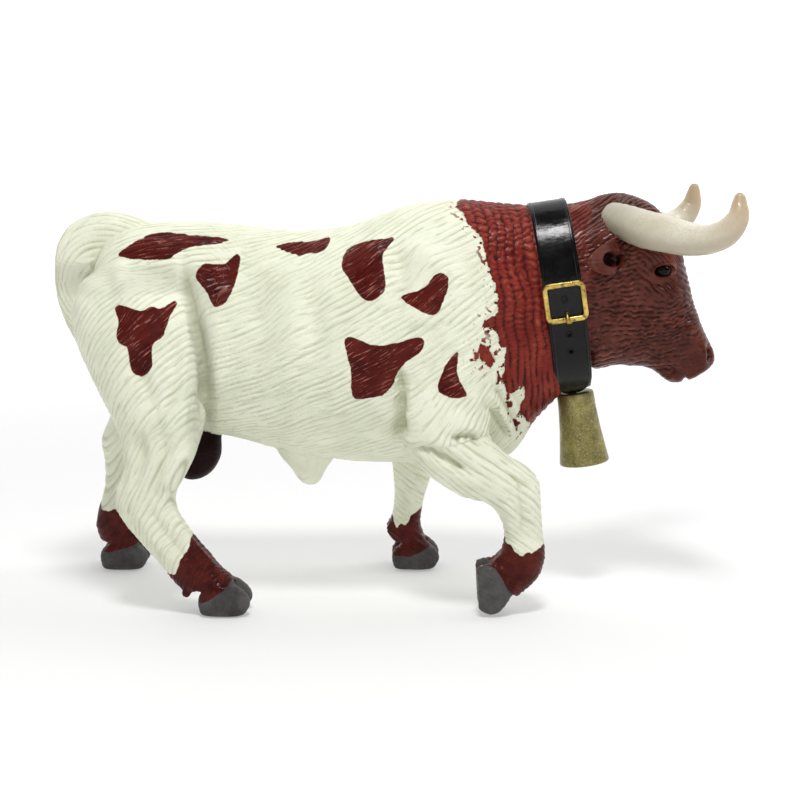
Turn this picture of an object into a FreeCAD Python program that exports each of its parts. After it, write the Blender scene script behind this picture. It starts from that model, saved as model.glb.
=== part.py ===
import FreeCAD, Part
import math
import os

from FreeCAD import Vector

# Frame: millimetres, +Z up, +X the way the bull faces, -Y its right side.
# The origin lies on the ground under the middle of the whole figure.

# Trunk
body_length = 112.0          # buttocks to the collar seat, along X
body_back = 74.0             # the buttocks stand this far behind the origin
withers_height = 94.0        # shoulder hump above the ground
barrel_width = 44.0          # widest across the ribs
sheath_width = 9.0

# Hind legs
haunch_width = 23.0          # across one thigh
hip_spread = 12.5            # mid-plane to the middle of a thigh at the hip
hind_foot_spread = 20.5      # mid-plane to the middle of a hind foot

# Fore legs
shoulder_width = 17.2        # across one upper arm
shoulder_spread = 12.5
fore_foot_spread = 20.5

# Feet
hoof_length = 12.2
hoof_width = 11.6            # both toes together
hoof_height = 7.4
toe_gap = 0.7                # the cleft between the two toes
dewclaw_length = 3.4
dewclaw_radius = 1.35
flexed_turn = 87.0           # degrees that the lifted hoof is turned over its toe
claw_lean = 35.0             # degrees that the dewclaws point back
near_hind_claw_lean = 15.0
flexed_claw_lean = 50.0

# Head
head_length = 40.0           # collar seat to the muzzle
head_width = 28.4            # across the neck end of the head
eye_radius = 2.1
eye_spread = 8.7
nostril_radius = 0.95
nostril_depth = 1.2
nostril_spread = 4.3
nostril_turn = 0.6           # slope of a nostril's bore to the side
mouth_gap = 0.5
mouth_depth = 1.2

# Horns and ears
horn_thickness = 8.6
horn_reach = 21.5            # root to the outermost bend, across
horn_root_spread = 8.0       # mid-plane to the middle of a horn's root
ear_length = 11.5
ear_width = 8.8
ear_thickness = 1.9
ear_root_spread = 11.0
ear_droop = 2.0              # how far the tip hangs below the root
ear_sweep = 35.0             # degrees that an ear is swept back

# Tail and scrotum
tail_thickness = 6.6
tail_depth = 8.3             # front to back
scrotum_width = 11.5

# Collar, buckle and bell
strap_width = 8.9
strap_thickness = 1.0
hole_radius = 0.55
hole_depth = 0.6
hole_pitch = 4.1
hole_count = 4
tongue_length = 23.2         # buckle middle to the tip of the tongue
tongue_radius = 4.6          # round end of the tongue
buckle_length = 9.3          # along the strap
buckle_width = 9.9           # across the strap
buckle_bar = 1.2
buckle_corner = 1.5
buckle_rise = 0.1            # buckle middle above the middle of the neck
prong_radius = 0.5
prong_length = 2.2
bell_length = 18.3
bell_mouth = 12.0
bell_crown = 8.8
bell_wall = 1.3
bell_recess = 3.0
bell_ahead = 0.8             # bell's middle ahead of the strap's

# Fits
fit_gap = 0.15               # each side, between a spigot and its socket
strap_gap = 0.2              # between the strap and the neck
seam_gap = 0.1               # between the trims and the strap that they lie on
spigot_radius = 3.4          # legs
spigot_length = 6.0
small_spigot_radius = 1.5    # tail, scrotum and horns
small_spigot_length = 3.4
ear_spigot_radius = 0.9
ear_spigot_length = 2.4
neck_spigot_height = 24.0
neck_spigot_width = 14.0
neck_spigot_length = 6.0
overrun = 3.0                # how far a cutting solid passes the face that it cuts

# Rings of the forms: two ends of each ring in the side view, then its half width.
# A place along X is a share of body_length from the buttocks, a height is a share
# of withers_height, and a half width is a share of half the named width.
trunk_shares = [
    (0.040, 0.830, 0.040, 0.638, 0.43),
    (0.067, 0.899, 0.067, 0.532, 0.66),
    (0.125, 0.936, 0.125, 0.473, 0.80),
    (0.214, 0.947, 0.214, 0.426, 0.87),
    (0.321, 0.942, 0.321, 0.404, 0.92),
    (0.446, 0.925, 0.446, 0.364, 0.98),
    (0.571, 0.937, 0.571, 0.341, 1.00),
    (0.696, 0.988, 0.696, 0.335, 0.98),
    (0.795, 1.003, 0.810, 0.335, 0.91),
    (0.875, 0.996, 0.914, 0.353, 0.80),
    (0.933, 0.990, 0.972, 0.446, 0.71),
]
collar_share = (0.989, 0.987, 1.046, 0.536, 0.645)
sheath_shares = [
    (0.395, 0.400, 0.560, 0.400, 1.00),
    (0.425, 0.345, 0.540, 0.345, 0.90),
    (0.456, 0.305, 0.516, 0.305, 0.66),
    (0.472, 0.283, 0.502, 0.277, 0.36),
]

# A limb's ring adds the place across, as a share of the way from hip to foot.
near_haunch_shares = [
    (0.110, 0.875, 0.235, 0.865, -0.60, 0.30),
    (0.060, 0.838, 0.250, 0.815, -0.22, 0.64),
    (0.022, 0.793, 0.254, 0.766, 0.06, 0.91),
    (0.009, 0.702, 0.275, 0.681, 0.19, 1.00),
    (0.038, 0.606, 0.289, 0.596, 0.31, 0.97),
    (0.070, 0.527, 0.286, 0.516, 0.44, 0.89),
    (0.098, 0.463, 0.277, 0.447, 0.56, 0.78),
]
near_hind_shares = [
    (0.098, 0.463, 0.277, 0.447, 0.56, 0.78),
    (0.114, 0.399, 0.259, 0.383, 0.69, 0.64),
    (0.113, 0.346, 0.239, 0.335, 0.79, 0.54),
    (0.096, 0.293, 0.221, 0.298, 0.85, 0.49),
    (0.102, 0.245, 0.223, 0.257, 0.88, 0.47),
    (0.138, 0.187, 0.238, 0.218, 0.94, 0.40),
    (0.185, 0.120, 0.269, 0.168, 0.98, 0.39),
    (0.215, 0.076, 0.313, 0.113, 1.00, 0.43),
]
far_haunch_shares = [
    (0.110, 0.875, 0.235, 0.865, -0.60, 0.30),
    (0.060, 0.838, 0.250, 0.815, -0.22, 0.64),
    (0.022, 0.793, 0.246, 0.766, 0.06, 0.91),
    (0.004, 0.702, 0.259, 0.681, 0.19, 1.00),
    (0.028, 0.617, 0.259, 0.596, 0.31, 0.97),
    (0.045, 0.532, 0.232, 0.516, 0.44, 0.87),
    (0.053, 0.468, 0.192, 0.452, 0.56, 0.76),
]
far_hind_shares = [
    (0.053, 0.468, 0.192, 0.452, 0.56, 0.76),
    (0.022, 0.394, 0.152, 0.390, 0.69, 0.63),
    (0.009, 0.351, 0.121, 0.346, 0.76, 0.51),
    (0.015, 0.293, 0.107, 0.293, 0.82, 0.43),
    (0.012, 0.223, 0.098, 0.223, 0.85, 0.39),
    (-0.006, 0.154, 0.098, 0.157, 0.92, 0.41),
    (-0.010, 0.102, 0.105, 0.106, 0.98, 0.45),
]
near_shoulder_shares = [
    (0.652, 0.681, 0.857, 0.681, 0.00, 0.87),
    (0.665, 0.574, 0.866, 0.585, 0.19, 1.00),
    (0.679, 0.479, 0.871, 0.505, 0.50, 0.95),
    (0.688, 0.410, 0.862, 0.443, 0.69, 0.84),
]
near_fore_shares = [
    (0.688, 0.410, 0.862, 0.443, 0.69, 0.84),
    (0.735, 0.346, 0.893, 0.400, 0.89, 0.72),
    (0.804, 0.292, 0.936, 0.370, 0.99, 0.64),
    (0.862, 0.272, 0.966, 0.332, 1.00, 0.60),
    (0.889, 0.229, 0.971, 0.272, 1.00, 0.53),
    (0.895, 0.189, 0.976, 0.202, 1.00, 0.50),
    (0.887, 0.151, 0.981, 0.145, 1.00, 0.56),
    (0.875, 0.132, 0.966, 0.087, 1.00, 0.57),
]
far_shoulder_shares = [
    (0.625, 0.681, 0.839, 0.660, 0.00, 0.87),
    (0.621, 0.553, 0.826, 0.543, 0.19, 1.00),
    (0.634, 0.457, 0.799, 0.447, 0.44, 0.88),
]
far_fore_shares = [
    (0.634, 0.457, 0.799, 0.447, 0.44, 0.88),
    (0.652, 0.372, 0.772, 0.367, 0.62, 0.73),
    (0.661, 0.309, 0.759, 0.303, 0.76, 0.63),
    (0.665, 0.261, 0.754, 0.261, 0.81, 0.59),
    (0.668, 0.207, 0.740, 0.207, 0.88, 0.49),
    (0.664, 0.154, 0.731, 0.154, 0.91, 0.48),
    (0.653, 0.109, 0.729, 0.113, 0.96, 0.56),
]

# The ring that each leg has in its hoof: as above, but its heights are shares of
# hoof_height, so that it stays in the hoof.
near_hind_ankle_share = (0.238, 0.6986486, 0.346, 1.0289189, 1.00, 0.45)
far_hind_ankle_share = (0.000, 0.9145946, 0.111, 0.9781081, 1.00, 0.46)
near_fore_ankle_share = (0.862, 1.5624324, 0.923, 0.4827027, 1.00, 0.57)
far_fore_ankle_share = (0.660, 0.9272973, 0.743, 0.9908108, 1.00, 0.59)

# A foot: the heel's place along X, then the dewclaws' place in the side view.
near_hind_foot_share = (0.265, 0.243, 0.062)
far_hind_foot_share = (0.000, 0.002, 0.130)
near_fore_foot_share = (0.838, 0.886, 0.134)
far_fore_foot_share = (0.662, 0.660, 0.112)

# One toe: shares of hoof_length, of hoof_height and of half a toe's width.
toe_shares = [
    (0.06, 0.00, 0.88, 0.00, 0.86),
    (0.01, 0.30, 1.00, 0.36, 1.00),
    (0.02, 0.58, 0.92, 0.70, 0.98),
    (0.12, 0.80, 0.68, 1.02, 0.84),
]

# Head rings: places along X are shares of head_length from the collar seat.
head_shares = [
    (0.075, 0.990, 0.225, 0.583, 0.96),
    (0.19, 0.998, 0.27, 0.574, 0.94),
    (0.39, 1.019, 0.39, 0.584, 0.89),
    (0.60, 0.987, 0.49, 0.582, 0.80),
    (0.73, 0.913, 0.565, 0.580, 0.72),
    (0.80, 0.824, 0.62, 0.571, 0.62),
    (0.85, 0.745, 0.675, 0.553, 0.54),
    (0.91, 0.679, 0.725, 0.540, 0.49),
    (0.975, 0.623, 0.80, 0.543, 0.46),
    (0.985, 0.597, 0.87, 0.558, 0.32),
]
eye_share = (0.635, 0.831)
nostril_share = (0.955, 0.612)
mouth_share = (0.667, 0.576, 0.800, 0.547)

# Horn centre line: shares of head_length, withers_height and horn_reach; thickness.
horn_shares = [
    (0.345, 0.957, -0.09, 0.90),
    (0.405, 0.951, 0.09, 0.94),
    (0.497, 0.938, 0.33, 1.00),
    (0.620, 0.927, 0.56, 0.95),
    (0.717, 0.920, 0.72, 0.87),
    (0.812, 0.922, 0.88, 0.76),
    (0.895, 0.940, 0.98, 0.71),
    (0.950, 0.973, 1.00, 0.57),
    (0.960, 1.005, 0.97, 0.40),
    (0.962, 1.024, 0.96, 0.26),
    (0.962, 1.031, 0.96, 0.12),
]
ear_share = (0.34, 0.882)

# Ear rings: place along the ear, width and forward cupping, as shares.
ear_shares = [
    (-0.30, 0.30, 0.00),
    (0.10, 0.42, 0.30),
    (0.30, 0.80, 0.55),
    (0.55, 1.00, 0.60),
    (0.82, 0.80, 0.55),
    (0.96, 0.42, 0.45),
    (1.00, 0.16, 0.40),
]

# Tail centre line: shares of body_length and withers_height; thickness.
tail_shares = [
    (0.161, 0.899, 0.96),
    (0.115, 0.919, 1.00),
    (0.065, 0.926, 1.06),
    (0.024, 0.911, 1.14),
    (-0.003, 0.876, 1.12),
    (-0.012, 0.820, 1.04),
    (-0.012, 0.765, 0.97),
    (0.000, 0.710, 0.92),
    (0.020, 0.655, 0.84),
    (0.045, 0.590, 0.70),
    (0.065, 0.530, 0.42),
]
scrotum_shares = [
    (0.190, 0.440, 0.290, 0.440, 0.60),
    (0.186, 0.390, 0.298, 0.395, 0.82),
    (0.184, 0.345, 0.297, 0.350, 1.00),
    (0.200, 0.308, 0.280, 0.312, 0.92),
    (0.218, 0.288, 0.256, 0.290, 0.50),
]

# Bell wall: place down the bell, and how far from the crown's to the mouth's radius.
bell_shares = [
    (0.00, 0.00),
    (0.25, 0.00),
    (0.55, 0.28),
    (0.80, 0.68),
    (1.00, 1.00),
]

# Corners of a ring: of a body, of the strap and the bell, and of the small round forms.
ring_points = 16
strap_points = 32
bell_points = 24
small_points = 8
turn = 2.0 * math.pi


def place(x_share, z_share):
    """A point of the side view, from the body's shares."""
    return (x_share * body_length - body_back, z_share * withers_height)


def head_place(x_share, z_share):
    """A point of the head's side view."""
    return (body_length - body_back + x_share * head_length, z_share * withers_height)


def eased(rows):
    """A table with one more row between each two, on a smooth curve through them."""
    table = []
    for index, row in enumerate(rows[:-1]):
        before = rows[max(index - 1, 0)]
        after = rows[index + 1]
        beyond = rows[min(index + 2, len(rows) - 1)]
        table.append(row)
        group = zip(before, row, after, beyond)
        table.append([(9 * (b + c) - a - d) / 16 for a, b, c, d in group])
    table.append(rows[-1])
    return table


def ring(first, last, across, half_width, grow=0.0, push=0.0, count=ring_points):
    """The corners of an oval ring whose ends in the side view are first and last."""
    middle = Vector((first[0] + last[0]) / 2, across, (first[1] + last[1]) / 2)
    reach = Vector((first[0] - last[0]) / 2, 0, (first[1] - last[1]) / 2)
    along = Vector(reach).normalize()
    ahead = Vector(along.z, 0, -along.x)
    reach = reach + along * grow
    points = []
    for step in range(count):
        angle = turn * step / count
        side = Vector(0, (half_width + grow) * math.sin(angle), 0)
        points.append(middle + reach * math.cos(angle) + side + ahead * push)
    return points


def round_ring(centre, run, spoke, radius, count=small_points):
    """The corners of a round ring square to run; the first lies towards spoke."""
    run = Vector(run).normalize()
    first = (spoke - run * spoke.dot(run)).normalize()
    second = run.cross(first)
    points = []
    for step in range(count):
        angle = turn * step / count
        points.append(centre + (first * math.cos(angle) + second * math.sin(angle)) * radius)
    return points


def polygon(*corners):
    """A flat face with the given corners."""
    return Part.Face(Part.makePolygon(list(corners) + [corners[0]]))


def ring_axis(first, last, across):
    """The middle of a ring and the direction square to its plane."""
    middle = Vector((first[0] + last[0]) / 2, across, (first[1] + last[1]) / 2)
    along = Vector(first[0] - last[0], 0, first[1] - last[1]).normalize()
    return middle, Vector(along.z, 0, -along.x)


def loft(rings):
    """A closed body of flat facets through rings that have as many corners each."""
    faces = [polygon(*rings[0]), polygon(*rings[-1])]
    for low, high in zip(rings, rings[1:]):
        for step in range(len(low)):
            a, b = low[step - 1], low[step]
            c, d = high[step - 1], high[step]
            if (a - d).Length < (b - c).Length:
                faces += [polygon(a, b, d), polygon(a, d, c)]
            else:
                faces += [polygon(a, b, c), polygon(b, d, c)]
    return Part.makeSolid(Part.makeShell(faces))


def rod(start, axis, radius, length):
    return Part.makeCylinder(radius, length, start, axis)


def bar(start, axis, radius, length, tip_radius):
    """An eight-sided bar, straight or tapering."""
    run = Vector(axis).normalize()
    spoke = Vector(0, 0, 1) if abs(run.z) < abs(run.x) + abs(run.y) else Vector(1, 0, 0)
    first = round_ring(start, run, spoke, radius)
    return loft([first, round_ring(start + run * length, run, spoke, tip_radius)])


def plug(root, radius, length, grow=0.0):
    """A keyed spigot that runs on from a casting's root; grown, it is the socket."""
    start, axis = root
    return bar(start - axis * radius, axis, radius + grow, radius + length + grow, radius + grow)


def middle_of(row, across=0.0):
    """The middle of a body ring and the direction square to it."""
    return ring_axis(place(row[0], row[1]), place(row[2], row[3]), across)


def body_ring(row, width):
    first = place(row[0], row[1])
    last = place(row[2], row[3])
    return ring(first, last, 0.0, row[4] * width / 2)


# Limbs

def limb_across(row, stance):
    side, top_spread, foot_spread = stance
    return side * (top_spread + (foot_spread - top_spread) * row[4])


def limb(rows, width, stance):
    """A body through a limb's rings."""
    rings = []
    for row in eased(rows):
        first = place(row[0], row[1])
        last = place(row[2], row[3])
        rings.append(ring(first, last, limb_across(row, stance), row[5] * width / 2))
    return loft(rings)


def limb_root(row, stance):
    """The middle of a leg's top face and the way up into the trunk."""
    middle, ahead = middle_of(row, limb_across(row, stance))
    if ahead.z < 0:
        ahead = ahead * -1
    return middle, ahead


def toe(side):
    """One toe of a hoof, its heel at zero."""
    width = (hoof_width - toe_gap) / 2
    across = side * (width + toe_gap) / 2
    rings = []
    for row in eased(toe_shares):
        first = (row[0] * hoof_length, row[1] * hoof_height)
        last = (row[2] * hoof_length, row[3] * hoof_height)
        rings.append(ring(first, last, across, row[4] * width / 2))
    return loft(rings)


def hoof(heel_x, across, turned=0.0):
    """Both toes, turned about the heel and let down until they touch the ground."""
    toes = []
    for side in (-1, 1):
        shape = toe(side)
        shape.rotate(Vector(0, 0, 0), Vector(0, 1, 0), turned)
        lowest = shape.optimalBoundingBox(False, False).ZMin
        shape.translate(Vector(heel_x, across, -lowest))
        toes.append(shape)
    return toes


def dewclaws(x, z, across, lean):
    """The two small claws behind the foot, pointing down and back."""
    axis = Vector(-math.sin(lean), 0, -math.cos(lean))
    claws = []
    for side in (-1, 1):
        start = Vector(x, across + side * hoof_width / 5, z) - axis * dewclaw_radius
        claws.append(bar(start, axis, dewclaw_radius, dewclaw_length, dewclaw_radius / 2))
    return claws


def leg(name):
    """A leg from its joint to the ground, and the root of its spigot."""
    rows, ankle_share, foot_share, width, stance, lean, turned = legs[name]
    scale = hoof_height / withers_height
    ankle = list(ankle_share)
    ankle[1], ankle[3] = ankle[1] * scale, ankle[3] * scale
    rows = rows + [ankle]
    across = stance[0] * stance[2]
    heel_x = place(foot_share[0], 0.0)[0]
    claw = place(foot_share[1], foot_share[2])
    shape = limb(rows, width, stance)
    shape = shape.fuse(hoof(heel_x, across, turned))
    shape = shape.fuse(dewclaws(claw[0], claw[1], across, math.radians(lean)))
    return shape, limb_root(rows[0], stance)


hind_right = (-1, hip_spread, hind_foot_spread)
hind_left = (1, hip_spread, hind_foot_spread)
fore_right = (-1, shoulder_spread, fore_foot_spread)
fore_left = (1, shoulder_spread, fore_foot_spread)

# Each leg: rings, ankle, foot, width, stance, lean of the dewclaws, turn of the hoof.
legs = {
    "hindleg_right": (
        near_hind_shares, near_hind_ankle_share, near_hind_foot_share, haunch_width, hind_right,
        near_hind_claw_lean, 0,
    ),
    "hindleg_left": (
        far_hind_shares, far_hind_ankle_share, far_hind_foot_share, haunch_width, hind_left,
        claw_lean, 0,
    ),
    "foreleg_right": (
        near_fore_shares, near_fore_ankle_share, near_fore_foot_share, shoulder_width,
        fore_right, flexed_claw_lean, flexed_turn,
    ),
    "foreleg_left": (
        far_fore_shares, far_fore_ankle_share, far_fore_foot_share, shoulder_width, fore_left,
        claw_lean, 0,
    ),
}


# Tail and scrotum

def tail():
    """The tail arching off the rump, and its root."""
    rows = eased(tail_shares)
    points = [place(row[0], row[1]) for row in rows]
    rings = []
    for index, row in enumerate(rows):
        before = points[max(index - 1, 0)]
        after = points[min(index + 1, len(points) - 1)]
        here = points[index]
        run = Vector(after[0] - before[0], 0, after[1] - before[1]).normalize()
        reach = Vector(run.z, 0, -run.x) * (row[2] * tail_depth / 2)
        first = (here[0] + reach.x, here[1] + reach.z)
        last = (here[0] - reach.x, here[1] - reach.z)
        rings.append(ring(first, last, 0.0, row[2] * tail_thickness / 2))
    start = Vector(points[0][0], 0, points[0][1])
    inward = Vector(points[0][0] - points[1][0], 0, points[0][1] - points[1][1]).normalize()
    return loft(rings), (start, inward)


def scrotum():
    """The hanging sac, and its root in the belly."""
    shape = loft([body_ring(row, scrotum_width) for row in eased(scrotum_shares)])
    return shape, (middle_of(scrotum_shares[0])[0], Vector(0, 0, 1))


# Collar

def seat_ends():
    return place(collar_share[0], collar_share[1]), place(collar_share[2], collar_share[3])


def seat_frame():
    """The collar seat: its middle, the way the neck runs, and up along the strap."""
    first, last = seat_ends()
    middle, ahead = ring_axis(first, last, 0.0)
    return middle, ahead, Vector(first[0] - last[0], 0, first[1] - last[1]).normalize()


def seat_ring(push, grow=0.0, count=ring_points):
    """The ring of the neck under the collar, pushed along the neck and grown."""
    first, last = seat_ends()
    half_width = collar_share[4] * barrel_width / 2
    return ring(first, last, 0.0, half_width, grow, push, count)


def band(inner_grow, outer_grow, width):
    """A closed band round the neck, between two growths of the seat's ring."""
    ahead = seat_frame()[1]
    outer = polygon(*seat_ring(-width / 2, outer_grow, strap_points))
    inner = polygon(*seat_ring(-width / 2 - overrun, inner_grow, strap_points))
    return outer.extrude(ahead * width).cut(inner.extrude(ahead * (width + 2 * overrun)))


def strap_outline(top, bottom):
    """A face in the middle plane, wider than the strap, with a round lower end."""
    middle, ahead, up = seat_frame()
    wide = ahead * strap_width
    bend = ahead * tongue_radius
    upper = middle + up * top
    lower = middle - up * (bottom - tongue_radius)
    edges = [
        Part.LineSegment(upper - wide, upper + wide).toShape(),
        Part.LineSegment(upper + wide, lower + wide).toShape(),
        Part.LineSegment(lower + wide, lower + bend).toShape(),
        Part.Arc(lower + bend, lower - up * tongue_radius, lower - bend).toShape(),
        Part.LineSegment(lower - bend, lower - wide).toShape(),
        Part.LineSegment(lower - wide, upper - wide).toShape(),
    ]
    return Part.Face(Part.Wire(edges))


def strap_face(height):
    """How far out the strap's second layer stands, at a height along the strap."""
    first, last = seat_ends()
    half_height = math.hypot(first[0] - last[0], first[1] - last[1]) / 2
    grow = strap_gap + 2 * strap_thickness
    half_width = collar_share[4] * barrel_width / 2 + grow
    part = height / (half_height + grow)
    return half_width * math.sqrt(1 - part * part)


def collar_strap():
    """The strap round the neck; below the buckle its tongue lies over it."""
    middle, ahead, up = seat_frame()
    inner_layer = band(strap_gap, strap_gap + strap_thickness, strap_width)
    outer_grow = strap_gap + 2 * strap_thickness
    outer_layer = band(strap_gap + strap_thickness / 2, outer_grow, strap_width)
    top = buckle_rise + buckle_length / 2 - buckle_bar
    outline = strap_outline(top, tongue_length - buckle_rise)
    tongue = outline.extrude(Vector(0, -barrel_width, 0)).common(outer_layer)
    shape = inner_layer.fuse(tongue)
    for number in range(hole_count):
        height = buckle_rise + hole_pitch / 8 - number * hole_pitch
        floor = strap_face(height) - hole_depth
        start = middle + up * height + Vector(0, -floor, 0)
        shape = shape.cut(rod(start, Vector(0, -1, 0), hole_radius, overrun))
    return shape


def buckle_outline(width, height, corner):
    """A rectangle with round corners in the middle plane, square to the strap."""
    middle, ahead, up = seat_frame()
    centre = middle + up * buckle_rise
    a, b = width / 2, height / 2
    bend = corner * (1 - math.sqrt(0.5))

    def at(x, z):
        return centre + ahead * x + up * z

    edges = []
    for first, second, arc_end, arc_mid in (
        (at(corner - a, b), at(a - corner, b), at(a, b - corner), at(a - bend, b - bend)),
        (at(a, b - corner), at(a, corner - b), at(a - corner, -b), at(a - bend, bend - b)),
        (at(a - corner, -b), at(corner - a, -b), at(-a, corner - b), at(bend - a, bend - b)),
        (at(-a, corner - b), at(-a, b - corner), at(corner - a, b), at(bend - a, b - bend)),
    ):
        edges.append(Part.LineSegment(first, second).toShape())
        edges.append(Part.Arc(second, arc_mid, arc_end).toShape())
    return Part.Face(Part.Wire(edges))


def buckle_frame():
    """The square frame that lies on the strap."""
    base = strap_face(buckle_rise) + seam_gap
    outer = buckle_outline(buckle_width, buckle_length, buckle_corner)
    inner = buckle_outline(
        buckle_width - 2 * buckle_bar, buckle_length - 2 * buckle_bar, buckle_corner / 2
    )
    outward = Vector(0, -1, 0)
    shape = outer.extrude(outward * buckle_bar).cut(inner.extrude(outward * buckle_bar))
    shape.translate(outward * base)
    front = base + buckle_bar
    rims = []
    for edge in shape.Edges:
        if abs(edge.BoundBox.YMin + front) < seam_gap and edge.BoundBox.YLength < seam_gap:
            rims.append(edge)
    return shape.makeChamfer(buckle_bar / 4, rims)


def buckle_prong(frame):
    """The stub of the prong, out of its hole and over the lower bar."""
    middle, ahead, up = seat_frame()
    height = buckle_rise + hole_pitch / 8 - hole_pitch
    out = strap_face(height) + seam_gap + prong_radius
    start = middle + up * (height + prong_length / 3) + Vector(0, -out, 0)
    run = (up * -prong_length + Vector(0, -buckle_bar - seam_gap, 0)).normalize()
    shape = bar(start, run, prong_radius, prong_length, prong_radius)
    end = bar(start + run * prong_length, run, prong_radius, prong_radius, prong_radius / 2)
    return shape.fuse(end).cut(frame)


def bell():
    """A flared bell whose crown is shaped to the underside of the strap."""
    middle, ahead, up = seat_frame()
    last = seat_ends()[1]
    top = Vector(last[0], 0, last[1]) - up * (strap_gap + strap_thickness) + ahead * bell_ahead
    crown, mouth = bell_crown / 2, bell_mouth / 2

    def rim(depth, radius):
        return round_ring(top - up * depth, up, ahead, radius, bell_points)

    rings = [rim(-crown, crown)]
    for depth_share, flare_share in bell_shares:
        rings.append(rim(depth_share * bell_length, crown + flare_share * (mouth - crown)))
    inside = mouth - bell_wall
    recess = loft([
        rim(bell_length - bell_recess, inside - bell_recess / 4),
        rim(bell_length, inside),
        rim(bell_length + overrun, inside),
    ])
    grow = strap_gap + strap_thickness + seam_gap
    core = polygon(*seat_ring(-strap_width, grow, strap_points)).extrude(ahead * (2 * strap_width))
    return loft(rings).cut([recess, core])


# Head

def skull():
    """The neck's front, the skull, the face and the muzzle in one body."""
    rings = [seat_ring(0.0)]
    for row in eased(head_shares):
        first = head_place(row[0], row[1])
        last = head_place(row[2], row[3])
        rings.append(ring(first, last, 0.0, row[4] * head_width / 2))
    return loft(rings)


def horn(side):
    """A horn tapering along its curve to a blunt tip, and its root."""
    rows = eased(horn_shares)
    points = []
    for row in rows:
        x, z = head_place(row[0], row[1])
        points.append(Vector(x, side * (horn_root_spread + row[2] * horn_reach), z))
    rings = []
    spoke = Vector(0, 0, 1)
    for index, row in enumerate(rows):
        run = points[min(index + 1, len(points) - 1)] - points[max(index - 1, 0)]
        rings.append(round_ring(points[index], run, spoke, row[3] * horn_thickness / 2, ring_points))
        spoke = rings[-1][0] - points[index]
    return loft(rings), (points[0], (points[0] - points[1]).normalize())


def ear(side):
    """A leaf-shaped ear, cupped to the front and swept back, and its root."""
    x, z = head_place(*ear_share)
    rings = []
    for out, wide, cup in eased(ear_shares):
        half = wide * ear_width / 2
        points = []
        for step in range(ring_points):
            angle = turn * step / ring_points
            up = half * math.sin(angle)
            bend = cup * ear_width * (up / ear_width) ** 2
            ahead = ear_thickness / 2 * math.cos(angle)
            points.append(Vector(ahead + bend, -out * ear_length, up - ear_droop * out))
        rings.append(points)
    shape = loft(rings)
    shape.rotate(Vector(0, 0, 0), Vector(0, 0, 1), -ear_sweep)
    shape.translate(Vector(x, -ear_root_spread, z))
    sweep = math.radians(ear_sweep)
    inward = Vector(math.sin(sweep), math.cos(sweep), 0)
    depth = -ear_shares[0][0] * ear_length
    start = Vector(x, -ear_root_spread, z + ear_droop * -ear_shares[0][0]) + inward * depth
    if side > 0:
        shape = shape.mirror(Vector(0, 0, 0), Vector(0, 1, 0))
        start = Vector(start.x, -start.y, start.z)
        inward = Vector(inward.x, -inward.y, inward.z)
    return shape, (start, inward)


def ball(centre, radius):
    """A ball of flat facets, its poles to the sides."""
    across = Vector(0, 1, 0)
    rings = []
    for step in range(1, small_points):
        angle = turn * step / (2 * small_points)
        middle = centre + across * (radius * math.cos(angle))
        spoke = Vector(0, 0, 1)
        rings.append(round_ring(middle, across, spoke, radius * math.sin(angle), ring_points))
    return loft(rings)


def mouth_cut():
    """The line of the lips: a thin slice round the outside of the muzzle."""
    inner = head_place(mouth_share[0], mouth_share[1])
    outer = head_place(mouth_share[2], mouth_share[3])
    run = Vector(outer[0] - inner[0], 0, outer[1] - inner[1])
    slab = Part.makeBox(head_length, head_width, mouth_gap)
    slab.translate(Vector(0, -head_width / 2, -mouth_gap / 2))
    slab.rotate(Vector(0, 0, 0), Vector(0, 1, 0), -math.degrees(math.atan2(run.z, run.x)))
    slab.translate(Vector(inner[0], 0, inner[1]))
    rings = []
    for row in head_shares[-5:]:
        first = head_place(row[0], row[1])
        last = head_place(row[2], row[3])
        rings.append(ring(first, last, 0.0, row[4] * head_width / 2, -mouth_depth, -mouth_depth))
    return slab.cut(loft(rings))


def neck_boss(grow=0.0):
    """The oval boss on the back of the head that fills the neck's socket."""
    middle, ahead, up = seat_frame()
    first = middle + up * (neck_spigot_height / 2)
    last = middle - up * (neck_spigot_height / 2)
    start = ring((first.x, first.z), (last.x, last.z), 0.0, neck_spigot_width / 2, grow, overrun)
    return polygon(*start).extrude(ahead * -(overrun + neck_spigot_length + grow))


def head():
    """The head casting with eyes, nostrils, mouth and neck boss, before its sockets."""
    x, z = head_place(*eye_share)
    eyes = [ball(Vector(x, side * eye_spread, z), eye_radius) for side in (-1, 1)]
    shape = skull().fuse(eyes)
    x, z = head_place(*nostril_share)
    bores = []
    for side in (-1, 1):
        outward = Vector(1, side * nostril_turn, 0).normalize()
        tip = Vector(x, side * nostril_spread, z)
        bores.append(rod(tip - outward * nostril_depth, outward, nostril_radius, overrun))
    groove = band(0.0, 2 * overrun, strap_width + 2 * strap_gap)
    return shape.cut(bores + [mouth_cut(), groove]).fuse(neck_boss())


# Trunk

def trunk():
    """The barrel, neck, thighs and upper arms in one casting, before its sockets."""
    rings = [body_ring(row, barrel_width) for row in eased(trunk_shares)]
    rings.append(seat_ring(-strap_width / 2))
    rings.append(seat_ring(0.0))
    masses = [
        limb(near_haunch_shares, haunch_width, hind_right),
        limb(far_haunch_shares, haunch_width, hind_left),
        limb(near_shoulder_shares, shoulder_width, fore_right),
        limb(far_shoulder_shares, shoulder_width, fore_left),
        loft([body_ring(row, sheath_width) for row in eased(sheath_shares)]),
    ]
    return loft(rings).fuse(masses)


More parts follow.
